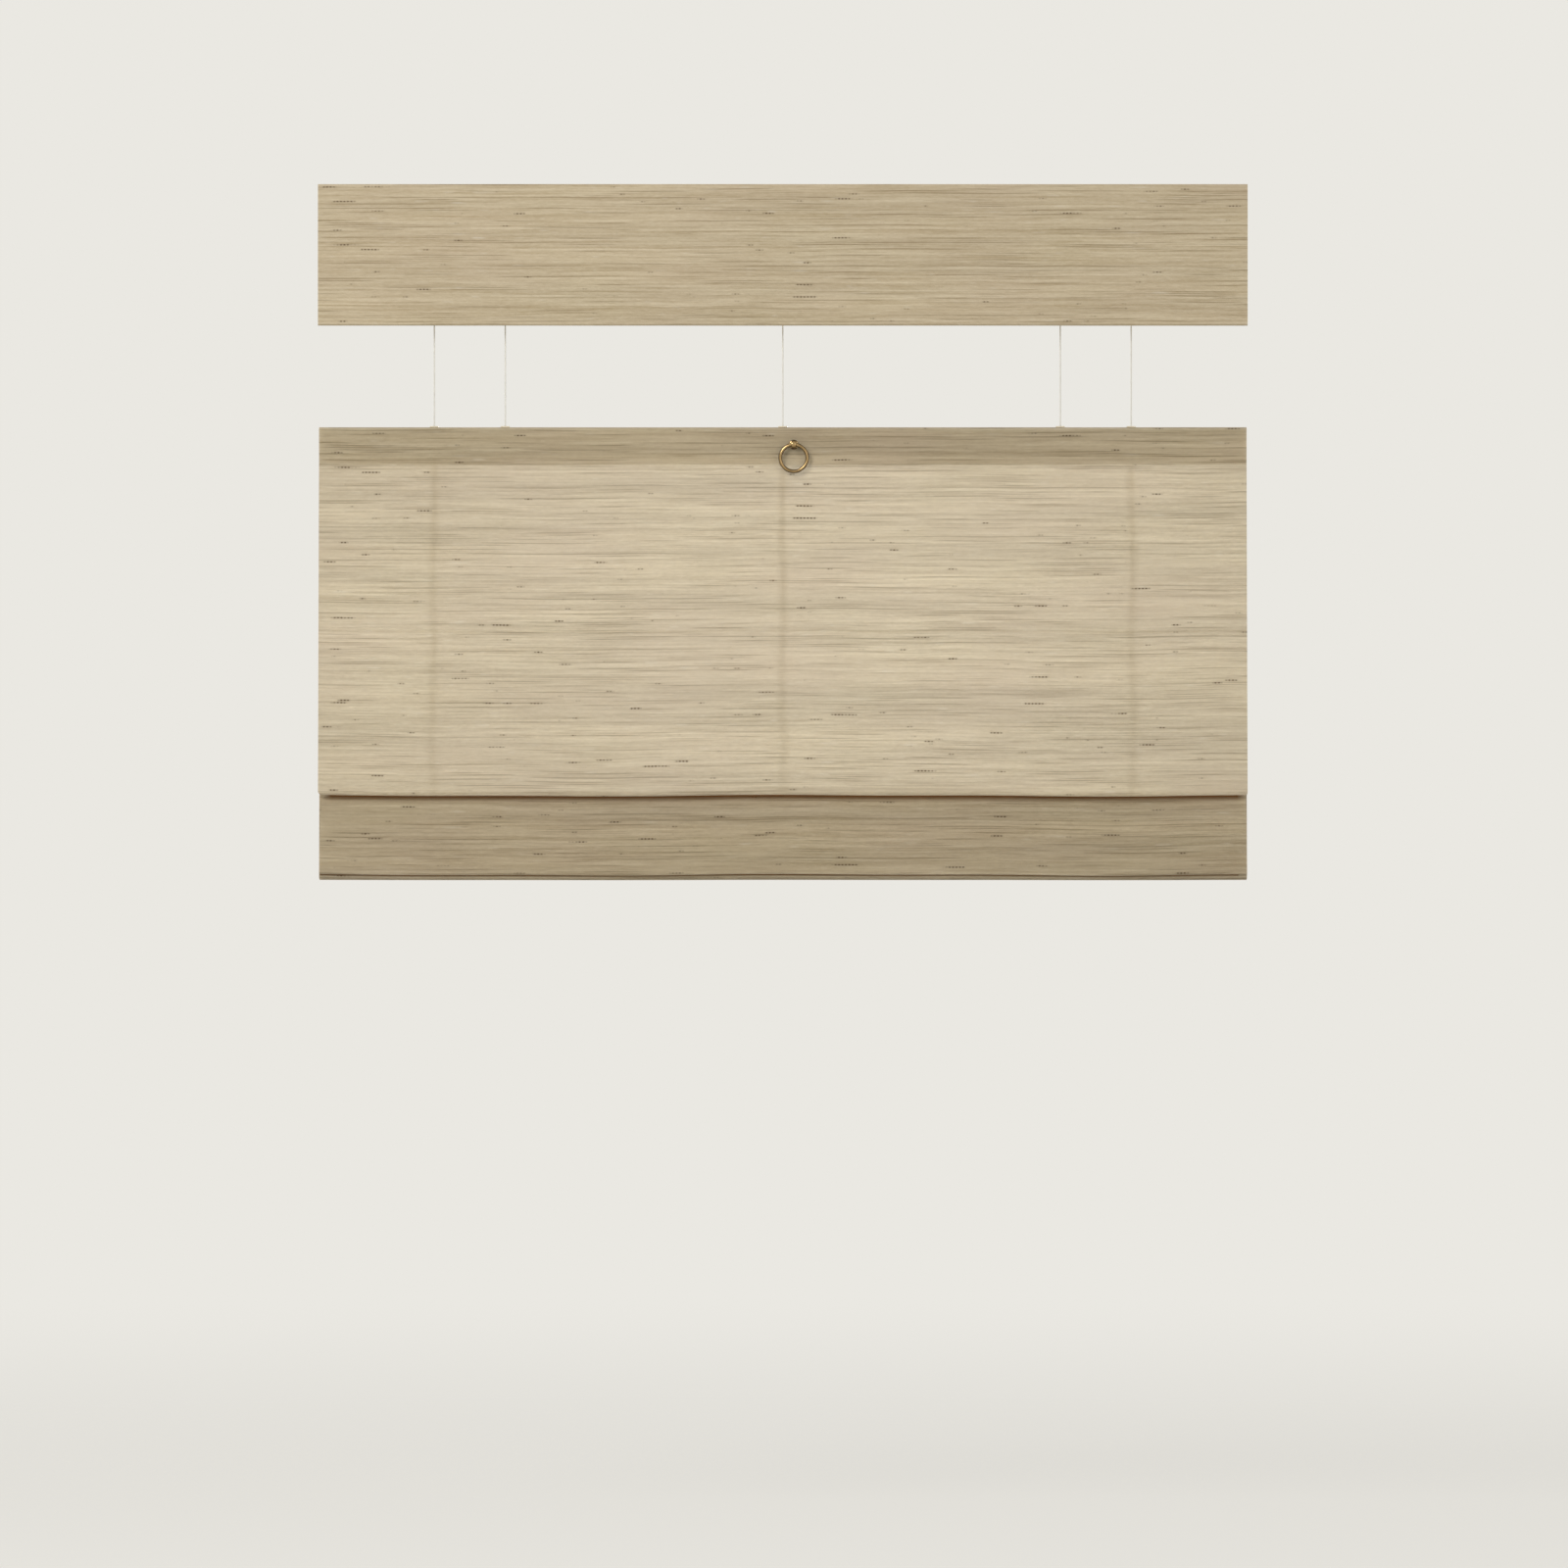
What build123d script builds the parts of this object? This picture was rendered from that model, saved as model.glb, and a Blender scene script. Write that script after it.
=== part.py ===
from build123d import *
import math
import os

# A woven roman blind that opens from the top down and from the bottom up.
# X is its width, -Y faces the room, +Z is up. The origin is the middle of the plane
# in which the two mounting brackets meet the window head. Sizes are in millimetres.

# The blind as a whole: its width, and how far below the origin its edges hang
blind_width = 914.0
valance_drop = 140.0
rail_pocket_drop = 239.0
front_fold_drop = 602.2
cut_overrun = 4.0

# The sides of the small turned and moulded pieces, which are prisms, and of the cords
turned_sides = 12
cord_sides = 8

# The woven cloth: its thickness on and between the ridges of the weave
cloth_crest = 1.2
cloth_valley = 0.6
ridge_pitch = 6.0
fold_step_angle = math.radians(46)

# The gaps of the weave in the front fall
gap_rows = 8
gap_columns = 6
gap_length = 38.0
gap_height = 0.5

# The headrail: a bent channel, open at the top, with lips that hang on the brackets
headrail_end_gap = 5.0
headrail_depth = 42.0
headrail_height = 34.0
headrail_wall = 1.4
headrail_bend = 2.2
headrail_lip = 8.0
end_cap_plate = 2.0
end_cap_plug = 9.0
end_cap_wall = 1.8
end_cap_corner = 2.0
plug_clearance = 0.2

# The mounting brackets: hat sections of spring steel, screwed to the window head
bracket_sheet = 1.5
bracket_length = 24.0
bracket_inset = 142.0
bracket_foot = 5.0
bracket_clearance = 0.3
screw_hole_radius = 2.25

# The two lift shafts, and the spools that wind the cords
shaft_flats = 5.0
shaft_end_gap = 32.0
shaft_rise = 16.0
bore_clearance = 0.06
cord_radius = 0.65
cord_wrap_radius = 7.0
cord_clearance = 0.1
spool_width = 18.0
spool_flange = 1.2
spool_flange_radius = 9.5
journal_radius = 4.0
journal_clearance = 0.08
inner_cord_inset = 183.4
outer_cord_inset = 113.5

# The cradles that carry the spools, each with a snout for its cord
cradle_wall = 3.0
cradle_floor = 2.0
spool_side_gap = 0.5
cradle_rise = 4.0
bearing_sides = 8
snout_length = 8.0
snout_width = 6.4
snout_wall = 1.2
snout_reach = 1.2
snout_clearance = 0.1

# The spring motors: a case and a cover round a coiled spring on its arbor
motor_place = 137.0
motor_length = 56.0
motor_wall = 1.6
motor_cover = 1.6
spring_radius = 9.2
spring_gap = 0.3
motor_shaft_gap = 0.8

# The valance and what holds it
strip_thickness = 1.2
strip_height = 20.0
strip_drop = 8.0
strip_end_gap = 17.0
seat_gap = 0.05
valance_top_gap = 0.6
valance_top_turn = 0.9
valance_top_flap = 27.0
valance_hem_height = 22.0
hem_bar_thickness = 1.5
hem_bar_height = 16.0
hem_bar_end_gap = 7.0
cloth_gap = 0.25

# The middle rail, a flat oval tube in the panel's top pocket
rail_end_gap = 4.0
mid_rail_depth = 9.0
mid_rail_height = 22.0
mid_rail_wall = 1.2
mid_rail_corner = 1.8
rail_cap_plate = 2.0
rail_cap_plug = 8.0
stitch_below_rail = 5.5
stitch_bend = 4.0
stitch_front = 4.3
pocket_flap = 8.0
flap_gap = 0.15

# The cord grommets in the middle rail, and the stops under the two short cords
grommet_flange_length = 9.0
grommet_flange_width = 6.4
grommet_flange = 1.1
grommet_sleeve = 4.6
grommet_bore = 2.6
grommet_reach = 1.0
grommet_clearance = 0.1
lower_hole = 3.2
stop_radius = 2.2
stop_height = 4.0

# The pull ring and the eye that carries it
ring_place = 10.8
ring_outer_radius = 15.0
ring_wire = 3.5
ring_sides = 8
ring_segments = 32
eye_below_rail = 4.8
eye_reach = 5.0
eye_bore = 2.45
eye_radius = 4.3
eye_thickness = 5.0
rosette_radius = 4.8
rosette_thickness = 1.2
eye_shank_radius = 1.9
eye_shank = 5.0

# The folds at the bottom, nested one behind the other in front of the cords
front_edge_lead = 7.5
front_edge_bend = 2.2
loop_count = 4
loop_fall = 78.0
fold_bend = 1.0
fold_pitch = 3.5
rear_crease_depth = 3.5
loop_lead = 5.5
crease_step = 1.2
loop_step = 1.3
crease_below_edge = 0.4

# The bottom bar in the hem of the panel, and the cleats that tie the long cords to it
bar_thickness = 3.0
bar_height = 20.0
bar_end_gap = 5.0
hem_height = 27.0
hem_loop_gap = 0.4
cleat_width = 12.0
cleat_height = 14.0
cleat_back = 2.2
cleat_bore = 1.6
cleat_rise = 18.0
cleat_entry = 9.0

# The shroud tapes behind the front fall, each a flat sleeve round a long cord
tape_width = 8.0
tape_thickness = 2.4
tape_bore = 1.7
tape_top_gap = 5.0
tape_end_gap = 2.0

# Lengths that follow the width of the blind, and places worked out from the sizes above
headrail_length = blind_width - 2 * headrail_end_gap
bracket_spacing = headrail_length - 2 * bracket_inset
shaft_length = headrail_length - 2 * shaft_end_gap
strip_length = blind_width - 2 * strip_end_gap
hem_bar_length = blind_width - 2 * hem_bar_end_gap
mid_rail_length = blind_width - 2 * rail_end_gap
bar_length = blind_width - 2 * bar_end_gap
inner_cord_place = blind_width / 2 - inner_cord_inset
outer_cord_place = blind_width / 2 - outer_cord_inset
first_loop_drop = front_fold_drop + loop_fall
hem_drop = first_loop_drop + loop_count * loop_step
first_crease_depth = rear_crease_depth + loop_count * fold_pitch
first_loop_depth = first_crease_depth + loop_lead
front_edge_depth = first_crease_depth + front_edge_lead
headrail_top = -bracket_sheet - bracket_clearance
headrail_floor = headrail_top - headrail_height + headrail_wall
headrail_inside = headrail_depth / 2 - headrail_wall / 2 - headrail_bend - plug_clearance
shaft_z = headrail_floor + shaft_rise
snout_end = headrail_floor - headrail_wall - snout_reach
long_cords = {"left": -outer_cord_place, "centre": 0.0, "right": outer_cord_place}
short_cords = {"left": -inner_cord_place, "right": inner_cord_place}
cord_places = sorted([*long_cords.values(), *short_cords.values()])
pocket_bend = mid_rail_corner + cloth_gap + cloth_crest / 2
rail_top = -rail_pocket_drop - cloth_crest - cloth_gap
rail_floor = rail_top - mid_rail_height
rail_middle = (rail_top + rail_floor) / 2
stitch_z = rail_floor - stitch_below_rail
pocket_front = mid_rail_depth / 2 + cloth_gap + cloth_crest / 2
eye_z = rail_middle - eye_below_rail
rosette_face = -pocket_front - cloth_crest / 2 - seat_gap
eye_y = rosette_face - eye_reach
ring_radius = ring_outer_radius - ring_wire / 2
hem_bend = (bar_thickness + cloth_crest) / 2 + cloth_gap


def cut_corner_rectangle(width, height, corner):
    outline = Rectangle(width, height)
    return chamfer(outline.vertices(), corner)


def along_x(section, length, x=0):
    """Extrudes a section drawn in Y and Z to both sides of x."""
    return Pos(x, 0, 0) * extrude(Plane.YZ * section, amount=length / 2, both=True)


def prism_y(outline, depth):
    """Extrudes an outline drawn in X and Z to both sides of Y zero."""
    return extrude(Plane.XZ * outline, amount=depth / 2, both=True)


def shaft_bar(flats):
    return RegularPolygon(flats / 2, 6, major_radius=False)


def run_headings(pins):
    """The headings of the straight runs of a line laid round pins of (y, z, radius, turn)."""
    headings = []
    for (y0, z0, r0, t0), (y1, z1, r1, t1) in zip(pins, pins[1:]):
        span = math.hypot(y1 - y0, z1 - z0)
        lean = math.asin((t1 * r1 - t0 * r0) / span)
        headings.append(math.atan2(z1 - z0, y1 - y0) - lean)
    return headings


def on_pin(pin, heading):
    """Where a line with this heading touches the pin."""
    y, z, radius, turn = pin
    return y + turn * radius * math.sin(heading), z - turn * radius * math.cos(heading)


def weave_stations(pins):
    """The middle of a ridged sheet laid round pins: its points, headings and thicknesses."""
    headings = run_headings(pins)
    stations = []
    for i, heading in enumerate(headings):
        start, end = on_pin(pins[i], heading), on_pin(pins[i + 1], heading)
        halves = 2 * max(1, round(math.dist(start, end) / ridge_pitch))
        for k in range(halves + 1):
            place = [a + (b - a) * k / halves for a, b in zip(start, end)]
            stations.append((*place, heading, cloth_crest if k % 2 else cloth_valley))
        if i + 1 < len(headings):
            radius, turn = pins[i + 1][2:]
            angle = (turn * (headings[i + 1] - heading)) % (2 * math.pi)
            ridges = int(radius * angle / ridge_pitch)
            steps = 2 * ridges or math.ceil(angle / fold_step_angle)
            for k in range(1, steps):
                bent = heading + turn * angle * k / steps
                thick = cloth_valley if ridges and k % 2 == 0 else cloth_crest
                stations.append((*on_pin(pins[i + 1], bent), bent, thick))
    return stations


def woven_sheet(pins, width):
    """One sheet of ridged cloth, as wide as given, laid round pins."""
    left, right = [], []
    for y, z, heading, thick in weave_stations(pins):
        out = (-math.sin(heading) * thick / 2, math.cos(heading) * thick / 2)
        left.append((-width / 2, y + out[0], z + out[1]))
        right.append((-width / 2, y - out[0], z - out[1]))
    section = Face(Wire.make_polygon(left + right[::-1], close=True))
    return Solid.extrude(section, Vector(width, 0, 0))


def pocket_pins():
    """The panel's top: a flap stitched behind the front, up the back of the rail and over it."""
    flap_y = -stitch_front + cloth_crest + flap_gap
    side = mid_rail_depth / 2 - mid_rail_corner
    upper, lower = rail_top - mid_rail_corner, rail_floor + mid_rail_corner
    return [
        (flap_y, stitch_z - pocket_flap, 0, 1),
        (flap_y + stitch_bend, stitch_z, stitch_bend, -1),
        (side, lower, pocket_bend, 1),
        (side, upper, pocket_bend, 1),
        (-side, upper, pocket_bend, 1),
        (-side, lower, pocket_bend, 1),
        (-stitch_front - stitch_bend, stitch_z, stitch_bend, -1),
    ]


def fold_pins():
    """The panel's front edge and the loops behind it, each a crease above and a bend below."""
    edge_z = -front_fold_drop + cloth_crest / 2 + front_edge_bend
    loop_z = -first_loop_drop + cloth_crest / 2 + fold_bend
    crease_z = edge_z - front_edge_bend - crease_below_edge
    pins = [(-front_edge_depth + front_edge_bend, edge_z, front_edge_bend, 1)]
    for k in range(loop_count):
        pins.append((-first_crease_depth + k * fold_pitch, crease_z - k * crease_step, fold_bend, -1))
        pins.append((-first_loop_depth + k * fold_pitch, loop_z - k * loop_step, fold_bend, 1))
    last = loop_count
    pins.append((-first_crease_depth + last * fold_pitch, crease_z - last * crease_step, fold_bend, -1))
    return pins


def hem_pin():
    """The bend of the cloth under the bottom bar."""
    last_loop = -first_loop_depth + (loop_count - 1) * fold_pitch + fold_bend
    front = last_loop + cloth_crest + hem_loop_gap
    return (front + hem_bend, -hem_drop + cloth_crest / 2 + hem_bend, hem_bend, 1)


def hem_heading():
    """The heading of the last fall of the panel, from its rearmost crease down to the hem."""
    return run_headings([fold_pins()[-1], hem_pin()])[0]


def panel_pins():
    y, z, radius, turn = hem_pin()
    back = hem_heading() + math.pi
    end_y, end_z = on_pin((y, z, radius, turn), back)
    end = (end_y + hem_height * math.cos(back), end_z + hem_height * math.sin(back), 0, 1)
    return [*pocket_pins(), *fold_pins(), hem_pin(), end]


def weave_gaps():
    """Narrow gaps between ridges of the front fall, in staggered rows."""
    pins = [pocket_pins()[-1], fold_pins()[0]]
    heading = run_headings(pins)[0]
    start, end = on_pin(pins[0], heading), on_pin(pins[1], heading)
    ridges = round(math.dist(start, end) / ridge_pitch)
    step = blind_width / gap_columns
    gaps = []
    for row in range(gap_rows):
        share = round(ridges * (row + 1) / (gap_rows + 1)) / ridges
        y, z = (a + (b - a) * share for a, b in zip(start, end))
        shift = step / 4 if row % 2 else -step / 4
        for column in range(gap_columns):
            x = (column + 1 / 2) * step - blind_width / 2 + shift
            place = Plane((x, y, z), x_dir=(1, 0, 0), z_dir=(0, math.cos(heading), math.sin(heading)))
            gaps.append(place * Box(gap_length, cloth_crest + cut_overrun, gap_height))
    return gaps


def woven_panel():
    """The panel: one folded sheet, with its gaps and the holes for the cords and the eye."""
    holes = weave_gaps()
    holes += [grommet_hole(x) for x in cord_places]
    depth = stitch_below_rail + pocket_flap
    slot = Box(lower_hole, lower_hole, depth)
    holes += [Pos(x, 0, rail_floor - depth / 2) * slot for x in long_cords.values()]
    holes.append(eye_hole())
    return woven_sheet(panel_pins(), blind_width) - holes


def grommet_hole(x):
    """The square hole for a grommet's sleeve, through the pocket's top and the rail's upper wall."""
    side = grommet_sleeve + 2 * grommet_clearance
    return Pos(x, 0, rail_top) * Box(side, side, 2 * (mid_rail_wall + cut_overrun / 2))


def eye_hole():
    """The hole for the eye's shank, through the pocket's front and the rail's front wall."""
    side = RegularPolygon(eye_shank_radius + grommet_clearance, turned_sides, major_radius=False)
    depth = 2 * (mid_rail_wall + cut_overrun / 2)
    return Pos(ring_place, -mid_rail_depth / 2, eye_z) * prism_y(side, depth)


def valance_levels():
    """The depths of the valance's top flap, front layer and hem flap."""
    flap = -headrail_depth / 2 - 2 * strip_thickness - seat_gap - cloth_crest / 2
    front = flap - 2 * valance_top_turn
    hem = front + hem_bar_thickness + cloth_crest + 2 * cloth_gap
    return flap, front, hem


def valance():
    """The valance: one sheet, turned over at the top and hemmed at the bottom."""
    flap, front, hem = valance_levels()
    turn = (hem - front) / 2
    top = -valance_top_gap - cloth_crest / 2 - valance_top_turn
    bottom = -valance_drop + cloth_crest / 2 + turn
    pins = [
        (flap, top - valance_top_flap, 0, 1),
        (front + valance_top_turn, top, valance_top_turn, 1),
        (front + turn, bottom, turn, 1),
        (hem, bottom + valance_hem_height, 0, 1),
    ]
    return woven_sheet(pins, blind_width)


def valance_hem_bar():
    _, front, hem = valance_levels()
    bottom = -valance_drop + cloth_crest + cloth_gap + hem_bar_thickness / 2
    middle = bottom + hem_bar_height / 2
    return Pos(0, (front + hem) / 2, middle) * Box(hem_bar_length, hem_bar_thickness, hem_bar_height)


def valance_strip(layer):
    """One of the two strips between headrail and valance, counted from the headrail."""
    y = -headrail_depth / 2 - (layer + 1 / 2) * strip_thickness
    z = headrail_top - strip_drop - strip_height / 2
    return Pos(0, y, z) * Box(strip_length, strip_thickness, strip_height)


def headrail():
    side = headrail_depth / 2 - headrail_wall / 2
    top = headrail_top - headrail_wall / 2
    floor = headrail_floor - headrail_wall / 2
    tip = headrail_depth / 2 - headrail_lip
    corners = [(-tip, top), (-side, top), (-side, floor), (side, floor), (side, top), (tip, top)]
    bend = FilletPolyline(*corners, radius=headrail_bend)
    channel = along_x(trace(bend, headrail_wall), headrail_length)
    room = 2 * snout_clearance
    slot = Box(snout_length + room, snout_width + room, headrail_wall + cut_overrun)
    return channel - [Pos(x, 0, floor) * slot for x in cord_places]


def headrail_end_cap(side):
    """A moulded cap: a plate over the end of the channel and a U-shaped plug inside it."""
    middle = headrail_top - headrail_height / 2
    plate = cut_corner_rectangle(headrail_depth, headrail_height, end_cap_corner)
    width = 2 * headrail_inside
    height = headrail_height - 2 * (headrail_wall + plug_clearance)
    plug = Rectangle(width, height)
    core = Rectangle(width - 2 * end_cap_wall, height - 2 * end_cap_wall)
    outer = side * (headrail_length + end_cap_plate) / 2
    inner = side * (headrail_length - end_cap_plug) / 2
    cap = along_x(Pos(0, middle) * plate, end_cap_plate, outer)
    return cap + along_x(Pos(0, middle) * (plug - core), end_cap_plug, inner)


def mounting_bracket(side):
    """A hat section: its crown takes the screw, and its feet catch under the headrail's lips."""
    lip_gap = headrail_depth / 2 - headrail_lip - bracket_clearance
    leg = lip_gap - bracket_sheet / 2
    crown = -bracket_sheet / 2
    foot = headrail_top - headrail_wall - bracket_clearance - bracket_sheet / 2
    toe = leg + bracket_foot
    line = Polyline((-toe, foot), (-leg, foot), (-leg, crown), (leg, crown), (leg, foot), (toe, foot))
    x = side * bracket_spacing / 2
    hole = Pos(x, 0, crown) * Cylinder(screw_hole_radius, bracket_sheet + cut_overrun)
    return along_x(trace(line, bracket_sheet), bracket_length, x) - hole


def spool_cradle(x):
    """A moulding with two pairs of open bearings, a bay for the spool and a snout for the cord."""
    length = spool_width + 2 * (spool_flange + spool_side_gap + cradle_wall)
    width = 2 * headrail_inside
    top = shaft_z + cradle_rise
    height = top - headrail_floor
    reach = journal_radius + journal_clearance
    half_side = 180 / bearing_sides
    bearing = RegularPolygon(reach, bearing_sides, major_radius=False, rotation=half_side)
    mouth = Pos(0, cradle_rise) * Rectangle(2 * reach, 2 * cradle_rise)
    section = Pos(0, headrail_floor + height / 2) * Rectangle(width, height)
    for y in (-cord_wrap_radius, cord_wrap_radius):
        section -= Pos(y, shaft_z) * (bearing + mouth)
    bay = Box(length - 2 * cradle_wall, width + cut_overrun, height)
    block = along_x(section, length, x) - Pos(x, 0, top - height / 2 + cradle_floor) * bay
    snout_height = headrail_floor - snout_end
    snout = Box(snout_length, snout_width, snout_height)
    depth = 2 * (snout_height + cradle_floor)
    hole = Box(snout_length - 2 * snout_wall, snout_width - 2 * snout_wall, depth)
    return block + Pos(x, 0, headrail_floor - snout_height / 2) * snout - Pos(x, 0, headrail_floor) * hole


def lift_shaft(y):
    return along_x(Pos(y, shaft_z) * shaft_bar(shaft_flats), shaft_length)


def spool(x, y):
    """A moulded spool: drum, two flanges and two journals, on the shaft."""
    flange_x = (spool_width + spool_flange) / 2
    length = spool_width + 2 * (spool_flange + spool_side_gap + cradle_wall)
    drum = RegularPolygon(cord_wrap_radius - cord_radius - cord_clearance, turned_sides)
    flange = RegularPolygon(spool_flange_radius, turned_sides)
    body = along_x(RegularPolygon(journal_radius, turned_sides), length)
    body += along_x(drum, spool_width + spool_flange)
    body += [along_x(flange, spool_flange, end) for end in (-flange_x, flange_x)]
    bore = along_x(shaft_bar(shaft_flats + 2 * bore_clearance), length + cut_overrun)
    return Pos(x, y, shaft_z) * (body - bore)


def motor_section(side):
    """The outline of a spring motor's case, between the headrail's wall and the other shaft."""
    shaft_corner = shaft_flats / math.sqrt(3)
    inner = cord_wrap_radius - shaft_corner - motor_shaft_gap
    top = shaft_z + spring_radius + spring_gap + motor_wall
    size = (inner + headrail_inside, top - headrail_floor)
    middle = (side * (headrail_inside - inner) / 2, (top + headrail_floor) / 2)
    return Pos(*middle) * Rectangle(*size)


def motor_bore(radius):
    """A many-sided hole that clears a round piece of this radius."""
    return RegularPolygon(radius, turned_sides, major_radius=False)


def spring_case(side):
    x, y = side * motor_place, side * cord_wrap_radius
    bore = Pos(y, shaft_z) * motor_bore(journal_radius + journal_clearance)
    cavity = Pos(y, shaft_z) * motor_bore(spring_radius + spring_gap)
    case = along_x(motor_section(side) - bore, motor_length, x)
    return case - along_x(cavity, motor_length, x + motor_wall)


def spring_cover(side):
    x, y = side * motor_place + (motor_length + motor_cover) / 2, side * cord_wrap_radius
    plate = motor_section(side) - Pos(y, shaft_z) * motor_bore(journal_radius + journal_clearance)
    return along_x(plate, motor_cover, x)


def motor_spring(side):
    """The coiled spring, all its turns as one ring."""
    x, y = side * motor_place + motor_wall / 2, side * cord_wrap_radius
    coil = RegularPolygon(spring_radius, turned_sides) - motor_bore(journal_radius + spring_gap)
    return along_x(Pos(y, shaft_z) * coil, motor_length - motor_wall - 2 * spring_gap, x)


def motor_arbor(side):
    x, y = side * motor_place + motor_cover / 2, side * cord_wrap_radius
    hub = Circle(journal_radius) - shaft_bar(shaft_flats + 2 * bore_clearance)
    return along_x(Pos(y, shaft_z) * hub, motor_length + motor_cover, x)


def rail_section(shrink):
    """The rail's outline, drawn in by a wall or a clearance."""
    size = mid_rail_depth - 2 * shrink, mid_rail_height - 2 * shrink
    return Pos(0, rail_middle) * cut_corner_rectangle(*size, mid_rail_corner - shrink / 2)


def mid_rail():
    """The tube, pierced for the cords and for the eye of the pull ring."""
    tube = along_x(rail_section(0) - rail_section(mid_rail_wall), mid_rail_length)
    holes = [grommet_hole(x) for x in cord_places]
    slot = Box(lower_hole, lower_hole, mid_rail_wall + cut_overrun)
    holes += [Pos(x, 0, rail_floor) * slot for x in long_cords.values()]
    return tube - holes - eye_hole()


def mid_rail_end_cap(side):
    plate = along_x(rail_section(0), rail_cap_plate, side * (mid_rail_length + rail_cap_plate) / 2)
    plug = rail_section(mid_rail_wall + plug_clearance)
    return plate + along_x(plug, rail_cap_plug, side * (mid_rail_length - rail_cap_plug) / 2)


def grommet_end():
    return rail_top - mid_rail_wall - grommet_reach


def cord_grommet(x):
    """A flanged bush, from the top of the pocket down through the rail's wall."""
    seat = -rail_pocket_drop + seat_gap
    height = seat - grommet_end()
    plate = Box(grommet_flange_length, grommet_flange_width, grommet_flange)
    flange = Pos(0, 0, seat + grommet_flange / 2) * plate
    flange = chamfer(flange.faces().sort_by(Axis.Z)[-1].edges(), grommet_flange / 2)
    sleeve = Pos(0, 0, seat - height / 2) * Box(grommet_sleeve, grommet_sleeve, height)
    hole = Pos(0, 0, seat) * Box(grommet_bore, grommet_bore, 2 * height)
    return Pos(x, 0, 0) * (flange + sleeve - hole)


def cord_stop(x):
    """A bead on the end of a short cord, drawn up under its grommet."""
    bead = extrude(RegularPolygon(stop_radius, turned_sides), amount=-stop_height)
    return Pos(x, 0, grommet_end() - seat_gap) * bead


def ring_eye():
    """The eye: a rosette on the cloth, a shank into the rail, and a drilled tongue for the ring."""
    neck_depth = eye_reach - rosette_thickness
    tongue = along_x(RegularPolygon(eye_radius, turned_sides), eye_thickness)
    tongue += Pos(0, neck_depth / 2, 0) * Box(eye_thickness, neck_depth, eye_radius)
    eye = Pos(0, eye_y, 0) * (tongue - along_x(Circle(eye_bore), eye_thickness + cut_overrun))
    rosette = prism_y(RegularPolygon(rosette_radius, turned_sides), rosette_thickness)
    shank = prism_y(RegularPolygon(eye_shank_radius, turned_sides), eye_shank)
    eye += Pos(0, rosette_face - rosette_thickness / 2, 0) * rosette
    eye += Pos(0, rosette_face + eye_shank / 2, 0) * shank
    return Pos(ring_place, 0, eye_z) * eye


def pull_ring():
    """The ring, hanging with its top wire in the eye: a many-sided wire in short straight lengths."""
    loops = []
    for i in range(ring_segments):
        along = 2 * math.pi * i / ring_segments
        loop = []
        for k in range(ring_sides):
            around = 2 * math.pi * (k + 1 / 2) / ring_sides
            reach = ring_radius + ring_wire / 2 * math.cos(around)
            loop.append((reach * math.sin(along), ring_wire / 2 * math.sin(around), reach * math.cos(along)))
        loops.append(loop)
    faces = []
    for i in range(ring_segments):
        a, b = loops[i - 1], loops[i]
        for k in range(ring_sides):
            faces.append(Face(Wire.make_polygon([a[k - 1], a[k], b[k], b[k - 1]], close=True)))
    return Pos(ring_place, eye_y, eye_z - ring_radius) * Solid(Shell(faces))


def bottom_bar():
    """A flat bar inside the hem, at the slant of the panel's last fall."""
    y, z = hem_pin()[:2]
    up = hem_heading() + math.pi
    middle = bar_height / 2
    place = Plane(
        (0, y + middle * math.cos(up), z + middle * math.sin(up)),
        x_dir=(1, 0, 0),
        z_dir=(0, math.cos(up), math.sin(up)),
    )
    return place * Box(bar_length, bar_thickness, bar_height)


def cleat_top():
    return -hem_drop + cleat_rise + cleat_height


def cord_cleat(x):
    """A small block on the back of the hem, with a blind hole for the end of a long cord."""
    y, z = hem_pin()[:2]
    up = hem_heading() + math.pi
    rise = (cleat_top() - z) / math.sin(up)
    face = y + hem_bend + cloth_crest / 2 + cloth_gap + rise * math.cos(up)
    depth = cleat_back - face
    middle = (x, face + depth / 2, cleat_top() - cleat_height / 2)
    block = Pos(*middle) * Box(cleat_width, depth, cleat_height)
    return block - Pos(x, 0, cleat_top()) * Box(cleat_bore, cleat_bore, 2 * cleat_entry)


def lift_cord(x, low):
    return Pos(x, 0, low) * extrude(RegularPolygon(cord_radius, cord_sides), amount=shaft_z - low)


def shroud_tape(x):
    top = stitch_z - tape_top_gap
    bottom = cleat_top() + tape_end_gap
    section = Rectangle(tape_width, tape_thickness) - Rectangle(tape_bore, tape_bore)
    return Pos(x, 0, bottom) * extrude(section, amount=top - bottom)


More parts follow.
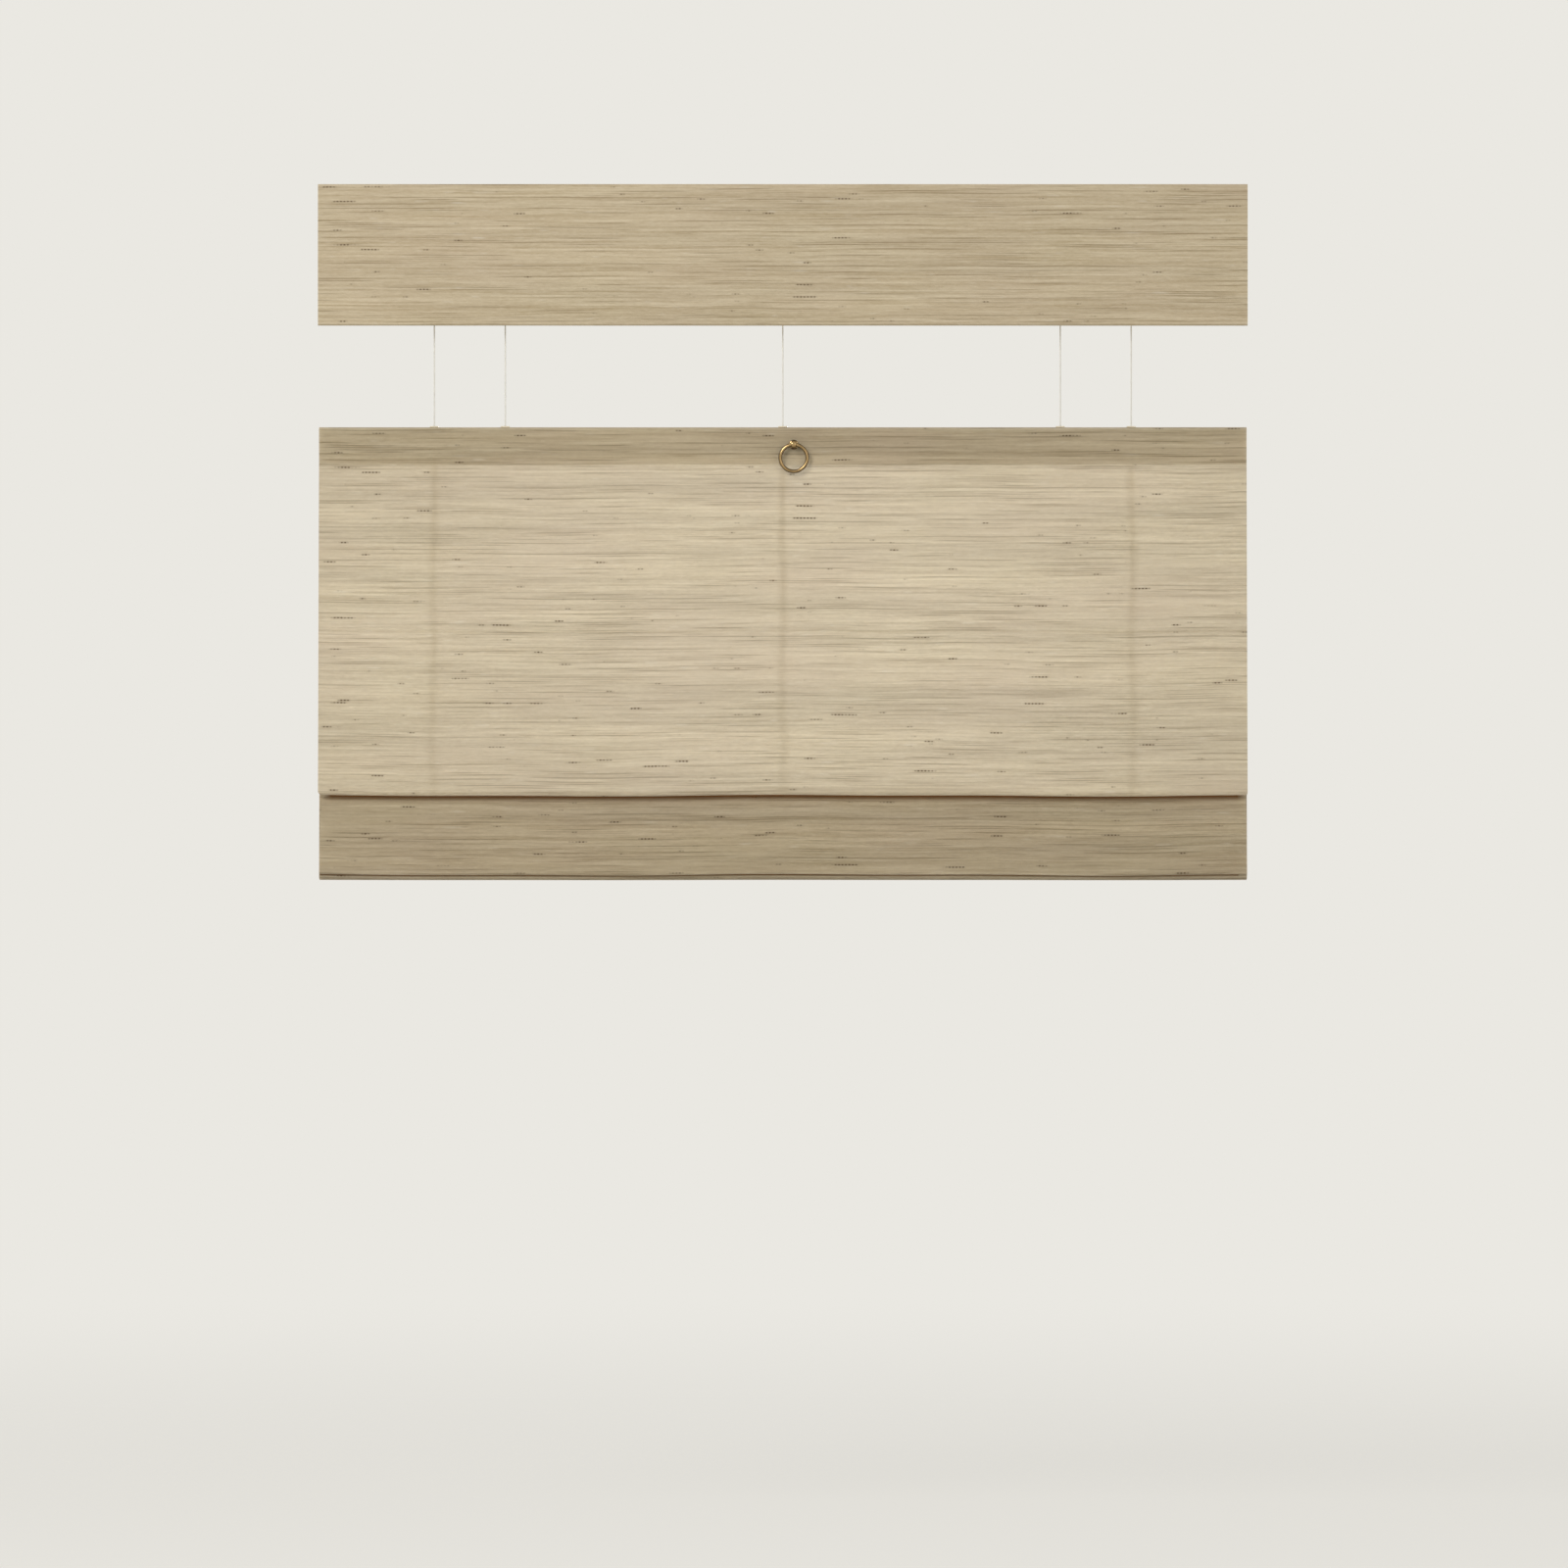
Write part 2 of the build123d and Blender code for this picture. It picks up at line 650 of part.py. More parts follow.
def pieces():
    """Every piece of the blind, by its name."""
    made = {"headrail": headrail(), "woven_panel": woven_panel(), "valance": valance()}
    made["valance_hem_bar"] = valance_hem_bar()
    made["valance_hook_strip"] = valance_strip(0)
    made["valance_loop_strip"] = valance_strip(1)
    for name, side in (("left", -1), ("right", 1)):
        made[f"headrail_end_cap_{name}"] = headrail_end_cap(side)
        made[f"mounting_bracket_{name}"] = mounting_bracket(side)
        made[f"mid_rail_end_cap_{name}"] = mid_rail_end_cap(side)
    for name, side in (("mid", -1), ("bottom", 1)):
        made[f"{name}_lift_shaft"] = lift_shaft(side * cord_wrap_radius)
        made[f"{name}_spring_case"] = spring_case(side)
        made[f"{name}_spring_cover"] = spring_cover(side)
        made[f"{name}_spring"] = motor_spring(side)
        made[f"{name}_spring_arbor"] = motor_arbor(side)
    for name, x in short_cords.items():
        made[f"mid_spool_{name}"] = spool(x, -cord_wrap_radius)
        made[f"mid_cradle_{name}"] = spool_cradle(x)
        made[f"mid_grommet_{name}"] = cord_grommet(x)
        made[f"mid_cord_stop_{name}"] = cord_stop(x)
        made[f"mid_cord_{name}"] = lift_cord(x, grommet_end() - seat_gap)
    for name, x in long_cords.items():
        made[f"bottom_spool_{name}"] = spool(x, cord_wrap_radius)
        made[f"bottom_cradle_{name}"] = spool_cradle(x)
        made[f"bottom_grommet_{name}"] = cord_grommet(x)
        made[f"bottom_cord_{name}"] = lift_cord(x, cleat_top() - cleat_entry)
        made[f"shroud_tape_{name}"] = shroud_tape(x)
        made[f"cord_cleat_{name}"] = cord_cleat(x)
    made["mid_rail"] = mid_rail()
    made["ring_eye"] = ring_eye()
    made["pull_ring"] = pull_ring()
    made["bottom_bar"] = bottom_bar()
    return made


os.makedirs("parts", exist_ok=True)
for node, shape in pieces().items():
    export_step(shape, f"parts/{node}.step")
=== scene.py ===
import math

import bpy
import numpy as np
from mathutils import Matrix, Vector


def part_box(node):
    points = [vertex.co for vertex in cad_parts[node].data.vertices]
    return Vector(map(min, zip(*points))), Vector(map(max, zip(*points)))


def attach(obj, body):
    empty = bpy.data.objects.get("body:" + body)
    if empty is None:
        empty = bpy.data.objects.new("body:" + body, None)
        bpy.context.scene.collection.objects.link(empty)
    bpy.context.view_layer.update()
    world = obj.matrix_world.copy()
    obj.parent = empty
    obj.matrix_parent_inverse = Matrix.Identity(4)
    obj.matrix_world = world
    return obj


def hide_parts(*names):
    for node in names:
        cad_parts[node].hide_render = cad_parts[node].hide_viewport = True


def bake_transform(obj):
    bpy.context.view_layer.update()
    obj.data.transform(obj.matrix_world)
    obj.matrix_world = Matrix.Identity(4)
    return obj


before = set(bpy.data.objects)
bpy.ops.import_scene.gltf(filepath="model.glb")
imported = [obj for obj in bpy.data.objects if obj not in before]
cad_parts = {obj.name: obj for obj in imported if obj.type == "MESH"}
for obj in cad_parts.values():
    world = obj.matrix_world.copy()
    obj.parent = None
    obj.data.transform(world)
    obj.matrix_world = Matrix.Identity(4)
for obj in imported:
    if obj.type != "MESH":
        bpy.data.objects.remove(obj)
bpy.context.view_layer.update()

# A woven roman blind, dressed in its cloth, cords and finishes. X is its width, -Y faces
# the room and +Z is up. Lengths are in millimetres until a mesh is made of them.
MM = 0.001

# The cloth: its width, its thickness on and between the wefts, the spacing of its yarns, and that of
# the rows and columns of its mesh
CLOTH_WIDTH = 914.0
CREST = 1.2
VALLEY = 0.6
WEFT_PITCH = 2.6
WARP_PITCH = 3.4
ROWS_TO_A_WEFT = 3
HIDDEN_ROW = 8.0
CLOTH_COLUMNS = 105
TURN_STEP = math.radians(24)

# The wefts' uneven size: how often along them it changes, its least and largest share, the depth at
# which the groove between two wefts ends, and the even level where the cloth is hidden
WEFT_KNOTS = 14
WEFT_SWELL = (0.5, 1.0)
WEFT_GROOVE = 0.02
HIDDEN_LEVEL = 0.7
VALANCE_SEED = 11
PANEL_SEED = 23

# The yarns' looks: the pitch across and the length along over which their colour changes, the part
# of the noise that counts, and for a thin yarn how much of its row it fills. The finer yarns are
# drawn coarser than they are, so that they show.
YARNS = {
    "weft": (1.9, 340, 0.32, 0.68, None),
    "strand": (1.3, 75, 0.3, 0.7, None),
    "fibre": (1.3, 7, 0.25, 0.75, None),
    "pale": (1.7, 28, 0.64, 0.78, None),
    "thread": (2.1, 120, 0.52, 0.64, (0.14, 0.38)),
    "slub": (2.4, 38, 0.665, 0.72, (0.14, 0.4)),
}
TONE_SHARES = {"weft": 0.36, "strand": 0.38, "fibre": 0.26}
ROWS_APART = 1.618
YARNS_APART = 7.3
WAVER = 2.6
WAVER_LENGTH = 90.0
BUNDLES = {"band": ((500, 60, 22), 0.95, 1.04), "patch": ((160, 60, 55), 0.0, 0.25)}
BUNDLE_SPREAD = (0.33, 0.67)
ROW_MIDDLE = 0.5
BEAD_SPREAD = (-0.3, 0.5)
BEAD_LEAST = 0.4
GAP_LIGHT = 0.73
YARN_RELIEF = 0.3

# The finishes: the part of a grain's noise that counts for its colour and for its gloss, and the size,
# the depth, the reach and the gloss of the cloudy painted highlight on the front of the brass
GRAIN_SPREAD = (0.32, 0.68)
GLOSS_SPREAD = (0.3, 0.7)
BRASS_CLOUD = 9.0
BRASS_UNEVEN = 0.5
BRASS_PAINTED_HIGHLIGHT = (-0.3, -0.8)
BRASS_GLOSS = (0.34, 0.18)

# The valance: its top turn, front and hem
VALANCE_DEPTHS = {"flap": -24.05, "front": -25.85, "hem": -22.65}
VALANCE_TOP = -0.6
VALANCE_BOTTOM = -140.0
VALANCE_TOP_TURN = 0.9
VALANCE_FLAP = 27.0
VALANCE_HEM = 22.0

# The panel's pocket round the middle rail
RAIL_TOP = -240.45
RAIL_FLOOR = -262.45
RAIL_DEPTH = 9.0
RAIL_CORNER = 1.8
CLOTH_GAP = 0.25
STITCH_BELOW_RAIL = 5.5
STITCH_BEND = 4.0
STITCH_FRONT = 4.3
POCKET_FLAP = 8.0
FLAP_GAP = 0.15

# The panel's folds and its hem round the bottom bar
FRONT_FOLD = -602.2
LOOP_FALL = 78.0
LOOP_DROPS = (0.0, 3.3, 4.4, 4.8)
LOOP_COUNT = len(LOOP_DROPS)
HEM_DROP = 5.2
CREASE_STEP = 1.2
CREASE_BELOW_EDGE = 0.4
FOLD_BEND = 1.0
FOLD_PITCH = 3.5
FRONT_EDGE_BEND = 2.2
FRONT_EDGE_DEPTH = 25.0
FIRST_CREASE_DEPTH = 17.5
FIRST_LOOP_DEPTH = 23.0
HEM_LOOP_GAP = 0.4
HEM_BEND = 2.35
HEM_HEIGHT = 27.0

# How far the loops are drawn in at the left and right ends, and how much more at the first crease
LOOP_INSETS = ((0.8, 4.6), (0.3, 1.4))
INSET_START = 8.0
INSET_REACH = 30.0

# How far the painted shade reaches from the first crease and below the first loop, and where each is
# found
CREASE_SHADE = 4.0
CREASE_SEARCH = 25.0
EDGE_SHADE = 1.7
EDGE_REACH = 10.0

# How the front of the panel wanders up and down and in and out: the depth at which it starts to, the
# depth over which it grows, and the size, length and start of its waves
LOOSE_FROM = 3.0
LOOSE_OVER = 22.0
HANG_WAVES = ((0.7, 84.0, 1.1), (0.4, 37.0, 2.3))
SWAY_WAVES = ((0.5, 61.0, 0.4),)

# Where the panel's upper part ends and its lower part begins
PANEL_SPLIT = -440.0
FALL_END = FRONT_FOLD + FRONT_EDGE_BEND + CREST

# The cords, and the spools that wind them
CORD_RADIUS = 0.65
CORD_ROW = 2.4
CORD_SIDES = 8
CORD_TWIST = 0.05
CORD_STRANDS = 2
SNOUT_END = -37.0
WRAP_RADIUS = 7.0
WRAP_PITCH = 1.34
WRAPS = {"mid": 4, "bottom": 12}
WRAP_STEPS = 24
SPOOL_HALF = 9.0
SPOOL_FLANGE = 1.2
SPOOL_FLANGE_RADIUS = 9.5
SPOOL_DRUM_RADIUS = 6.25
JOURNAL_RADIUS = 4.0
JOURNAL_END = 13.7
SHAFT_BORE = 2.95
EDGE_EASE = 0.3
TURNED_SIDES = 48

# The pull ring, its eye and the rosette behind the eye. The rosette's dished front is a row of places
# along from its face, with their radii.
RING_WIRE = 3.5
RING_OUTER_RADIUS = 15.0
RING_SIDES = 96
WIRE_SIDES = 24
EYE_RADIUS = 4.3
EYE_BORE = 2.45
EYE_WIDTH = 5.0
EYE_REACH = 5.0
EYE_ROUNDING = 0.7
ROSETTE_THICKNESS = 1.2
ROSETTE_DISH = ((-0.5, 1.9), (-0.15, 2.5), (0.0, 3.1), (0.15, 3.6), (0.2, 4.2), (0.5, 4.65), (0.8, 4.8))
ROSETTE_RADIUS = ROSETTE_DISH[-1][1]
ROSETTE_BACK_EASE = 0.1
NECK_RADIUS = 1.5
SHANK_RADIUS = 1.9
SHANK_LENGTH = 5.0
SHANK_CORE = 0.2

# The hollow that the ring has left in the cloth
HOLLOW_DEPTH = 0.9
HOLLOW_WIDTH = 13.0
HOLLOW_HEIGHT = 5.5

# The knitted sleeves round the long cords, which lie a little crooked and are bunched at the foot
TAPE_WIDTH = 8.0
TAPE_THICKNESS = 2.4
TAPE_BORE = 1.7
TAPE_ROW = 1.4
TAPE_SIDES = 20
TAPE_ROUNDING = 0.6
TAPE_RIB = 0.05
TAPE_FULLNESS = 0.86
TAPE_CROOKS = ((1.1, 24.0), (0.5, 9.0))
BUNCH_REACH = 40.0
BUNCH_SIZE = 0.35
BUNCH_LENGTH = 1.3
BUNCH_NARROWS = 0.3
BUNCH_SWELLS = 0.4

# Points of a piece that are closer than the gap are one point, and faces that meet at more than the
# angle show a corner
WELD_GAP = 0.001
CORNER = math.radians(50)

# The photograph: its size in pixels, the blind's millimetres to a pixel, and its middle
PHOTO_PIXELS = 1600
PHOTO_SCALE = 0.9635
PHOTO_MIDDLE_X = 1.2
PHOTO_MIDDLE_Z = -590.6
CAMERA_DISTANCE = 9000.0
SENSOR = 36.0

# The studio, in metres and watts. A lamp's spread under 180 degrees is that of a grid in front of it.
VIEW_REACH = 60.0
FLOOR_LEVEL = -1.34
FLOOR_HALF = 5.0
FLOOR_FADE = (0.5, 4.5)
FLOOR_EVEN = 0.75
BACKGROUND = "#EAE8E2"
SURROUND = "#FFFDF8"
SURROUND_LIGHT = 0.5
FRONT_AIM = (0, 0, -0.38)
BACK_AIM = (0, 0, -0.44)
LAMPS = {
    "key_softbox": {"place": (-1.5, -2.6, 1.3), "size": (1.2, 1.2), "power": 56, "aim": FRONT_AIM},
    "fill_softbox": {"place": (1.9, -2.8, 0.2), "size": (1.6, 1.6), "power": 12, "aim": FRONT_AIM},
    "back_softbox": {
        "place": (0, 2.6, -0.44),
        "size": (1.2, 0.4),
        "power": 2.6,
        "aim": BACK_AIM,
        "spread": 32,
    },
}


def linear(code):
    """A linear colour from an sRGB hex code."""
    shares = [int(code[i : i + 2], 16) / 255 for i in (1, 3, 5)]
    return [*(s / 12.92 if s <= 0.04045 else ((s + 0.055) / 1.055) ** 2.4 for s in shares), 1.0]


def add(tree, kind, inputs=(), **settings):
    """Adds a node with its settings. Its inputs, by name or number, are values, sockets or nodes."""
    node = tree.nodes.new(kind)
    for name, value in settings.items():
        setattr(node, name, value)
    for key, value in dict(inputs).items():
        if isinstance(value, bpy.types.Node):
            value = next(socket for socket in value.outputs if socket.enabled)
        if isinstance(value, bpy.types.NodeSocket):
            tree.links.new(value, node.inputs[key])
        else:
            node.inputs[key].default_value = value
    return node


def new_material(name):
    """A new material with no nodes yet, and its tree."""
    material = bpy.data.materials.new(name)
    material.use_nodes = True
    material.node_tree.nodes.clear()
    return material, material.node_tree


def grass_weave(name, through, shade=1.0):
    """Grass cloth, hand woven of split ramie and jute: matt pale wefts of uneven colour, laid close
    and straight, with thin darker threads and slubs of bark. Some light comes through."""
    material, tree = new_material(name)
    place = add(tree, "ShaderNodeTexCoord").outputs["Object"]
    along = add(tree, "ShaderNodeSeparateXYZ", {0: place}).outputs["X"]
    # The wefts are counted along the cloth, and waver by less than their own thickness
    down = add(tree, "ShaderNodeAttribute", attribute_name="down_the_cloth").outputs["Fac"]
    waver = {"Vector": place, "Scale": 1 / (WAVER_LENGTH * MM), "Detail": 1.0}
    waver = add(tree, "ShaderNodeTexNoise", waver)
    level = {0: waver, 1: WAVER * MM, 2: down}
    level = add(tree, "ShaderNodeMath", level, operation="MULTIPLY_ADD")
    fields = {}
    for number, (yarn, (pitch, length, low, high, core)) in enumerate(YARNS.items()):
        row = add(tree, "ShaderNodeMath", {0: level, 1: pitch * MM}, operation="DIVIDE")
        whole = add(tree, "ShaderNodeMath", {0: row}, operation="FLOOR")
        apart = {0: whole, 1: ROWS_APART, 2: number * YARNS_APART}
        apart = add(tree, "ShaderNodeMath", apart, operation="MULTIPLY_ADD")
        run = add(tree, "ShaderNodeMath", {0: along, 1: length * MM}, operation="DIVIDE")
        spot = add(tree, "ShaderNodeCombineXYZ", {0: run, 1: apart})
        noise = add(tree, "ShaderNodeTexNoise", {"Vector": spot, "Scale": 1.0, "Detail": 2.0})
        fields[yarn] = add(tree, "ShaderNodeMapRange", {0: noise, 1: low, 2: high})
        if core:
            # A thin yarn lies in the middle of its row
            part = add(tree, "ShaderNodeMath", {0: row}, operation="FRACT")
            aside = add(tree, "ShaderNodeMath", {0: part, 1: ROW_MIDDLE}, operation="SUBTRACT")
            aside = add(tree, "ShaderNodeMath", {0: aside}, operation="ABSOLUTE")
            thin = {0: aside, 1: core[0], 2: core[1], 3: 1.0, 4: 0.0}
            thin = add(tree, "ShaderNodeMapRange", thin)
            thin = {0: fields[yarn], 1: thin}
            fields[yarn] = add(tree, "ShaderNodeMath", thin, operation="MULTIPLY")
    # Slubs are beaded where the warps cross them
    turns = {0: along, 1: 2 * math.pi / (WARP_PITCH * MM)}
    turns = add(tree, "ShaderNodeMath", turns, operation="MULTIPLY")
    warp = add(tree, "ShaderNodeMath", {0: turns}, operation="SINE")
    beads = {0: warp, 1: BEAD_SPREAD[0], 2: BEAD_SPREAD[1], 3: BEAD_LEAST, 4: 1.0}
    beads = add(tree, "ShaderNodeMapRange", beads)
    beads = {0: fields["slub"], 1: beads}
    fields["slub"] = add(tree, "ShaderNodeMath", beads, operation="MULTIPLY")
    # Broad bands and patches, where one bundle of grass follows another
    for bundle, (size, low, high) in BUNDLES.items():
        scale = tuple(1 / (length * MM) for length in size)
        spread = add(tree, "ShaderNodeMapping", {"Vector": place, "Scale": scale})
        noise = add(tree, "ShaderNodeTexNoise", {"Vector": spread, "Scale": 1.0, "Detail": 2.0})
        # Shade scales the whole colour darker: a painted shade, used for the valance
        spread = {0: noise, 1: BUNDLE_SPREAD[0], 2: BUNDLE_SPREAD[1], 3: low * shade, 4: high * shade}
        fields[bundle] = add(tree, "ShaderNodeMapRange", spread)
    tone = 0.0
    for yarn, share in TONE_SHARES.items():
        tone = {0: fields[yarn], 1: share, 2: tone}
        tone = add(tree, "ShaderNodeMath", tone, operation="MULTIPLY_ADD")
    colours = {0: tone, 6: linear("#B5A07A"), 7: linear("#EEDFC0")}
    colour = add(tree, "ShaderNodeMix", colours, data_type="RGBA")
    tints = {"patch": (1.0, "#CFB9A2"), "pale": (0.5, "#EADFCA")}
    for tint, (share, code) in tints.items():
        amount = add(tree, "ShaderNodeMath", {0: fields[tint], 1: share}, operation="MULTIPLY")
        colours = {0: amount, 6: colour, 7: linear(code)}
        colour = add(tree, "ShaderNodeMix", colours, data_type="RGBA")
    # Light that comes through the gaps between the yarns is cooler than the yarns
    colours = {0: GAP_LIGHT, 6: colour, 7: linear("#E0E3E3")}
    lit = add(tree, "ShaderNodeMix", colours, data_type="RGBA")
    # Threads stop some of it, and slubs most of it. The creases are painted shade, dark brown on both
    # faces
    fields["crease"] = add(tree, "ShaderNodeAttribute", attribute_name="crease").outputs["Fac"]
    stops_and_painted_shade = {
        "thread": ("#79613A", 0.43, 0.2),
        "slub": ("#573F20", 0.85, 0.85),
        # Painted shade in the creases: dark brown mixed into the reflected and the glowing colour
        "crease": ("#8C5D26", 0.95, 0.95),
    }
    faces = []
    for side, face in enumerate((colour, lit)):
        for stop, (code, *shares) in stops_and_painted_shade.items():
            amount = {0: fields[stop], 1: shares[side]}
            amount = add(tree, "ShaderNodeMath", amount, operation="MULTIPLY")
            colours = {0: amount, 6: face, 7: linear(code)}
            face = add(tree, "ShaderNodeMix", colours, data_type="RGBA")
        banded = {0: face, "Scale": fields["band"]}
        faces.append(add(tree, "ShaderNodeVectorMath", banded, operation="SCALE"))
    bump = {"Height": tone, "Strength": 0.4, "Distance": YARN_RELIEF * MM}
    bump = add(tree, "ShaderNodeBump", bump)
    threads = {"Base Color": faces[0], "Roughness": 0.86, "IOR": 1.53, "Normal": bump}
    threads.update({"Sheen Weight": 0.1, "Sheen Roughness": 0.5})
    body = add(tree, "ShaderNodeBsdfPrincipled", threads)
    glow = add(tree, "ShaderNodeBsdfTranslucent", {"Color": faces[1], "Normal": bump})
    both = add(tree, "ShaderNodeMixShader", {0: through, 1: body, 2: glow})
    add(tree, "ShaderNodeOutputMaterial", {"Surface": both})
    return material


def antique_brass():
    """Brass dipped brown, with a painted highlight on the front and painted shade at the sides."""
    material, tree = new_material("brass_antiqued_painted_highlight")
    coordinates = add(tree, "ShaderNodeTexCoord").outputs
    cloud = {"Vector": coordinates["Object"], "Scale": 1 / (BRASS_CLOUD * MM), "Detail": 3.0}
    cloud = add(tree, "ShaderNodeTexNoise", cloud)
    # Where the brass faces the front it is drawn pale gold, a painted highlight, and dark at the sides,
    # a painted shade
    facing = add(tree, "ShaderNodeSeparateXYZ", {0: coordinates["Normal"]}).outputs["Y"]
    uneven = {0: cloud, 1: BRASS_UNEVEN, 2: facing}
    uneven = add(tree, "ShaderNodeMath", uneven, operation="MULTIPLY_ADD")
    painted_highlight = add(tree, "ShaderNodeMapRange", {0: uneven, 1: BRASS_PAINTED_HIGHLIGHT[0], 2: BRASS_PAINTED_HIGHLIGHT[1]})
    colours = {0: painted_highlight, 6: linear("#40301C"), 7: linear("#B2966A")}
    colour = add(tree, "ShaderNodeMix", colours, data_type="RGBA")
    gloss = add(tree, "ShaderNodeMapRange", {0: painted_highlight, 3: BRASS_GLOSS[0], 4: BRASS_GLOSS[1]})
    metal = {"Base Color": colour, "Roughness": gloss, "Metallic": 1.0}
    shader = add(tree, "ShaderNodeBsdfPrincipled", metal)
    add(tree, "ShaderNodeOutputMaterial", {"Surface": shader})
    return material


def surface(name, dark, light, grain_mm, roughness, relief_mm=0.0, through=0.0, holes=0.0, **sockets):
    """A finish whose colour, roughness and relief vary with a grain of this size along X, Y and Z.
    Through is the share of the light that glows through it, and holes the share that is open."""
    material, tree = new_material(name)
    place = add(tree, "ShaderNodeTexCoord").outputs["Object"]
    scale = tuple(1 / (size * MM) for size in grain_mm)
    spread = add(tree, "ShaderNodeMapping", {"Vector": place, "Scale": scale})
    grain = {"Vector": spread, "Scale": 1.0, "Detail": 4.0, "Roughness": 0.6}
    grain = add(tree, "ShaderNodeTexNoise", grain)
    share = add(tree, "ShaderNodeMapRange", {0: grain, 1: GRAIN_SPREAD[0], 2: GRAIN_SPREAD[1]})
    colours = {0: share, 6: linear(dark), 7: linear(light)}
    colour = add(tree, "ShaderNodeMix", colours, data_type="RGBA")
    gloss = {0: grain, 1: GLOSS_SPREAD[0], 2: GLOSS_SPREAD[1], 3: roughness[0], 4: roughness[1]}
    gloss = add(tree, "ShaderNodeMapRange", gloss)
    bump = {"Height": grain, "Strength": 0.5, "Distance": relief_mm * MM}
    bump = add(tree, "ShaderNodeBump", bump)
    inputs = {"Base Color": colour, "Roughness": gloss, "Normal": bump}
    inputs.update({key.replace("_", " "): value for key, value in sockets.items()})
    shader = add(tree, "ShaderNodeBsdfPrincipled", inputs)
    if through:
        glow = add(tree, "ShaderNodeBsdfTranslucent", {"Color": colour, "Normal": bump})
        shader = add(tree, "ShaderNodeMixShader", {0: through, 1: shader, 2: glow})
    if holes:
        clear = add(tree, "ShaderNodeBsdfTransparent")
        shader = add(tree, "ShaderNodeMixShader", {0: holes, 1: shader, 2: clear})
    add(tree, "ShaderNodeOutputMaterial", {"Surface": shader})
    return material


def make_finishes():
    """The blind's finishes, by the name that its maker would use."""
    plain, fine, metal = {"IOR": 1.5}, {"IOR": 1.53}, {"Metallic": 1.0}
    knit = {"Sheen_Weight": 0.3, "through": 0.5, "holes": 0.75}
    pile = {"Sheen_Weight": 0.5}
    return {
        # Even, soft gloss with the faint orange peel of sprayed enamel
        "enamel": surface(
            "white_enamel_sprayed", "#E6E3DA", "#EFEDE6", (3, 3, 3), (0.28, 0.38), 0.03, **plain
        ),
        # Milky and slightly waxy, as acetal comes out of the mould
        "acetal": surface(
            "acetal_moulded", "#E3E0D6", "#EEECE4", (6, 6, 6), (0.38, 0.5), 0.02, IOR=1.48
        ),
        # Cream, made to go with the cloth, with a fine spark-eroded grain
        "cream": surface(
            "abs_cream_moulded", "#D9CDB2", "#E4D9C1", (1.2, 1.2, 1.2), (0.45, 0.58), 0.04, **fine
        ),
        # Mid grey, matt, with a fine spark-eroded grain
        "grey": surface(
            "nylon_grey_moulded", "#77776F", "#85857D", (1.5, 1.5, 1.5), (0.5, 0.62), 0.04, **fine
        ),
        # Bluish plating over pressed sheet, clouded where it dried
        "zinc": surface(
            "steel_zinc_plated", "#A9ADB1", "#C3C6C8", (14, 9, 9), (0.25, 0.42), 0.02, **metal
        ),
        # Bright drawn bar with marks of the die along it
        "drawn": surface(
            "steel_bright_drawn", "#9B9C9E", "#B8B9BB", (60, 0.6, 0.6), (0.22, 0.4), 0.02, **metal
        ),
        # Mill finish with faint extrusion lines along the length
        "aluminium": surface(
            "aluminium_extruded", "#B4B6B8", "#CFD0D1", (90, 0.5, 0.5), (0.3, 0.45), 0.02, **metal
        ),
        # Matt white polyester braid, drawn with a coarser grain than it has so that it stays even
        "cord": surface(
            "polyester_braid", "#DCD9CF", "#E6E4DB", (2, 2, 6), (0.6, 0.75), 0.05, **plain
        ),
        # White knitted sleeve as sheer as net, its holes too fine to draw one by one
        "tape": surface(
            "polyester_knit_tape", "#E6E1D4", "#F6F2E7", (0.9, 0.9, 1.4), (0.75, 0.9), 0.25, **knit
        ),
        # Woven backing with a fuzzy pile of hooks or loops
        "strip": surface(
            "nylon_hook_and_loop", "#CFCBBF", "#ECE9DF", (0.8, 0.8, 0.8), (0.8, 0.95), 0.4, **pile
        ),
        "brass": antique_brass(),
        "weave": grass_weave("grass_cloth_hand_woven", 0.5),
        # The valance's cloth is bonded to a thin stiff backing, so less light comes through it; its
        # colour is also scaled darker, a painted shade
        "backed": grass_weave("grass_cloth_backed", 0.12, 0.84),
    }


def run_headings(pins):
    """The headings of the straight runs of a line laid round pins of (y, z, radius, turn)."""
    headings = []
    for (y0, z0, r0, t0), (y1, z1, r1, t1) in zip(pins, pins[1:]):
        span = math.hypot(y1 - y0, z1 - z0)
        headings.append(math.atan2(z1 - z0, y1 - y0) - math.asin((t1 * r1 - t0 * r0) / span))
    return headings


def on_pin(pin, heading):
    """Where a line with this heading touches the pin."""
    y, z, radius, turn = pin
    return y + turn * radius * math.sin(heading), z - turn * radius * math.cos(heading)


def cloth_rows(pins, hidden_runs=()):
    """Rows of a sheet laid round pins: y, z, heading, length so far, and 1 where its yarns show."""
    headings = run_headings(pins)
    fine = WEFT_PITCH / ROWS_TO_A_WEFT
    rows, length = [], 0.0
    for i, heading in enumerate(headings):
        start, end = on_pin(pins[i], heading), on_pin(pins[i + 1], heading)
        span = math.dist(start, end)
        count = max(1, round(span / (HIDDEN_ROW if i in hidden_runs else fine)))
        shows = 0.0 if i in hidden_runs else 1.0
        for k in range(count + 1):
            place = [a + (b - a) * k / count for a, b in zip(start, end)]
            rows.append((*place, heading, length + span * k / count, shows))
        length += span
        if i + 1 < len(headings):
            radius, turn = pins[i + 1][2:]
            angle = (turn * (headings[i + 1] - heading)) % (2 * math.pi)
            steps = max(2, math.ceil(angle / TURN_STEP), round(radius * angle / fine))
            for k in range(1, steps):
                bent = heading + turn * angle * k / steps
                reached = length + radius * angle * k / steps
                rows.append((*on_pin(pins[i + 1], bent), bent, reached, 1.0))
            length += radius * angle
    return np.array(rows)


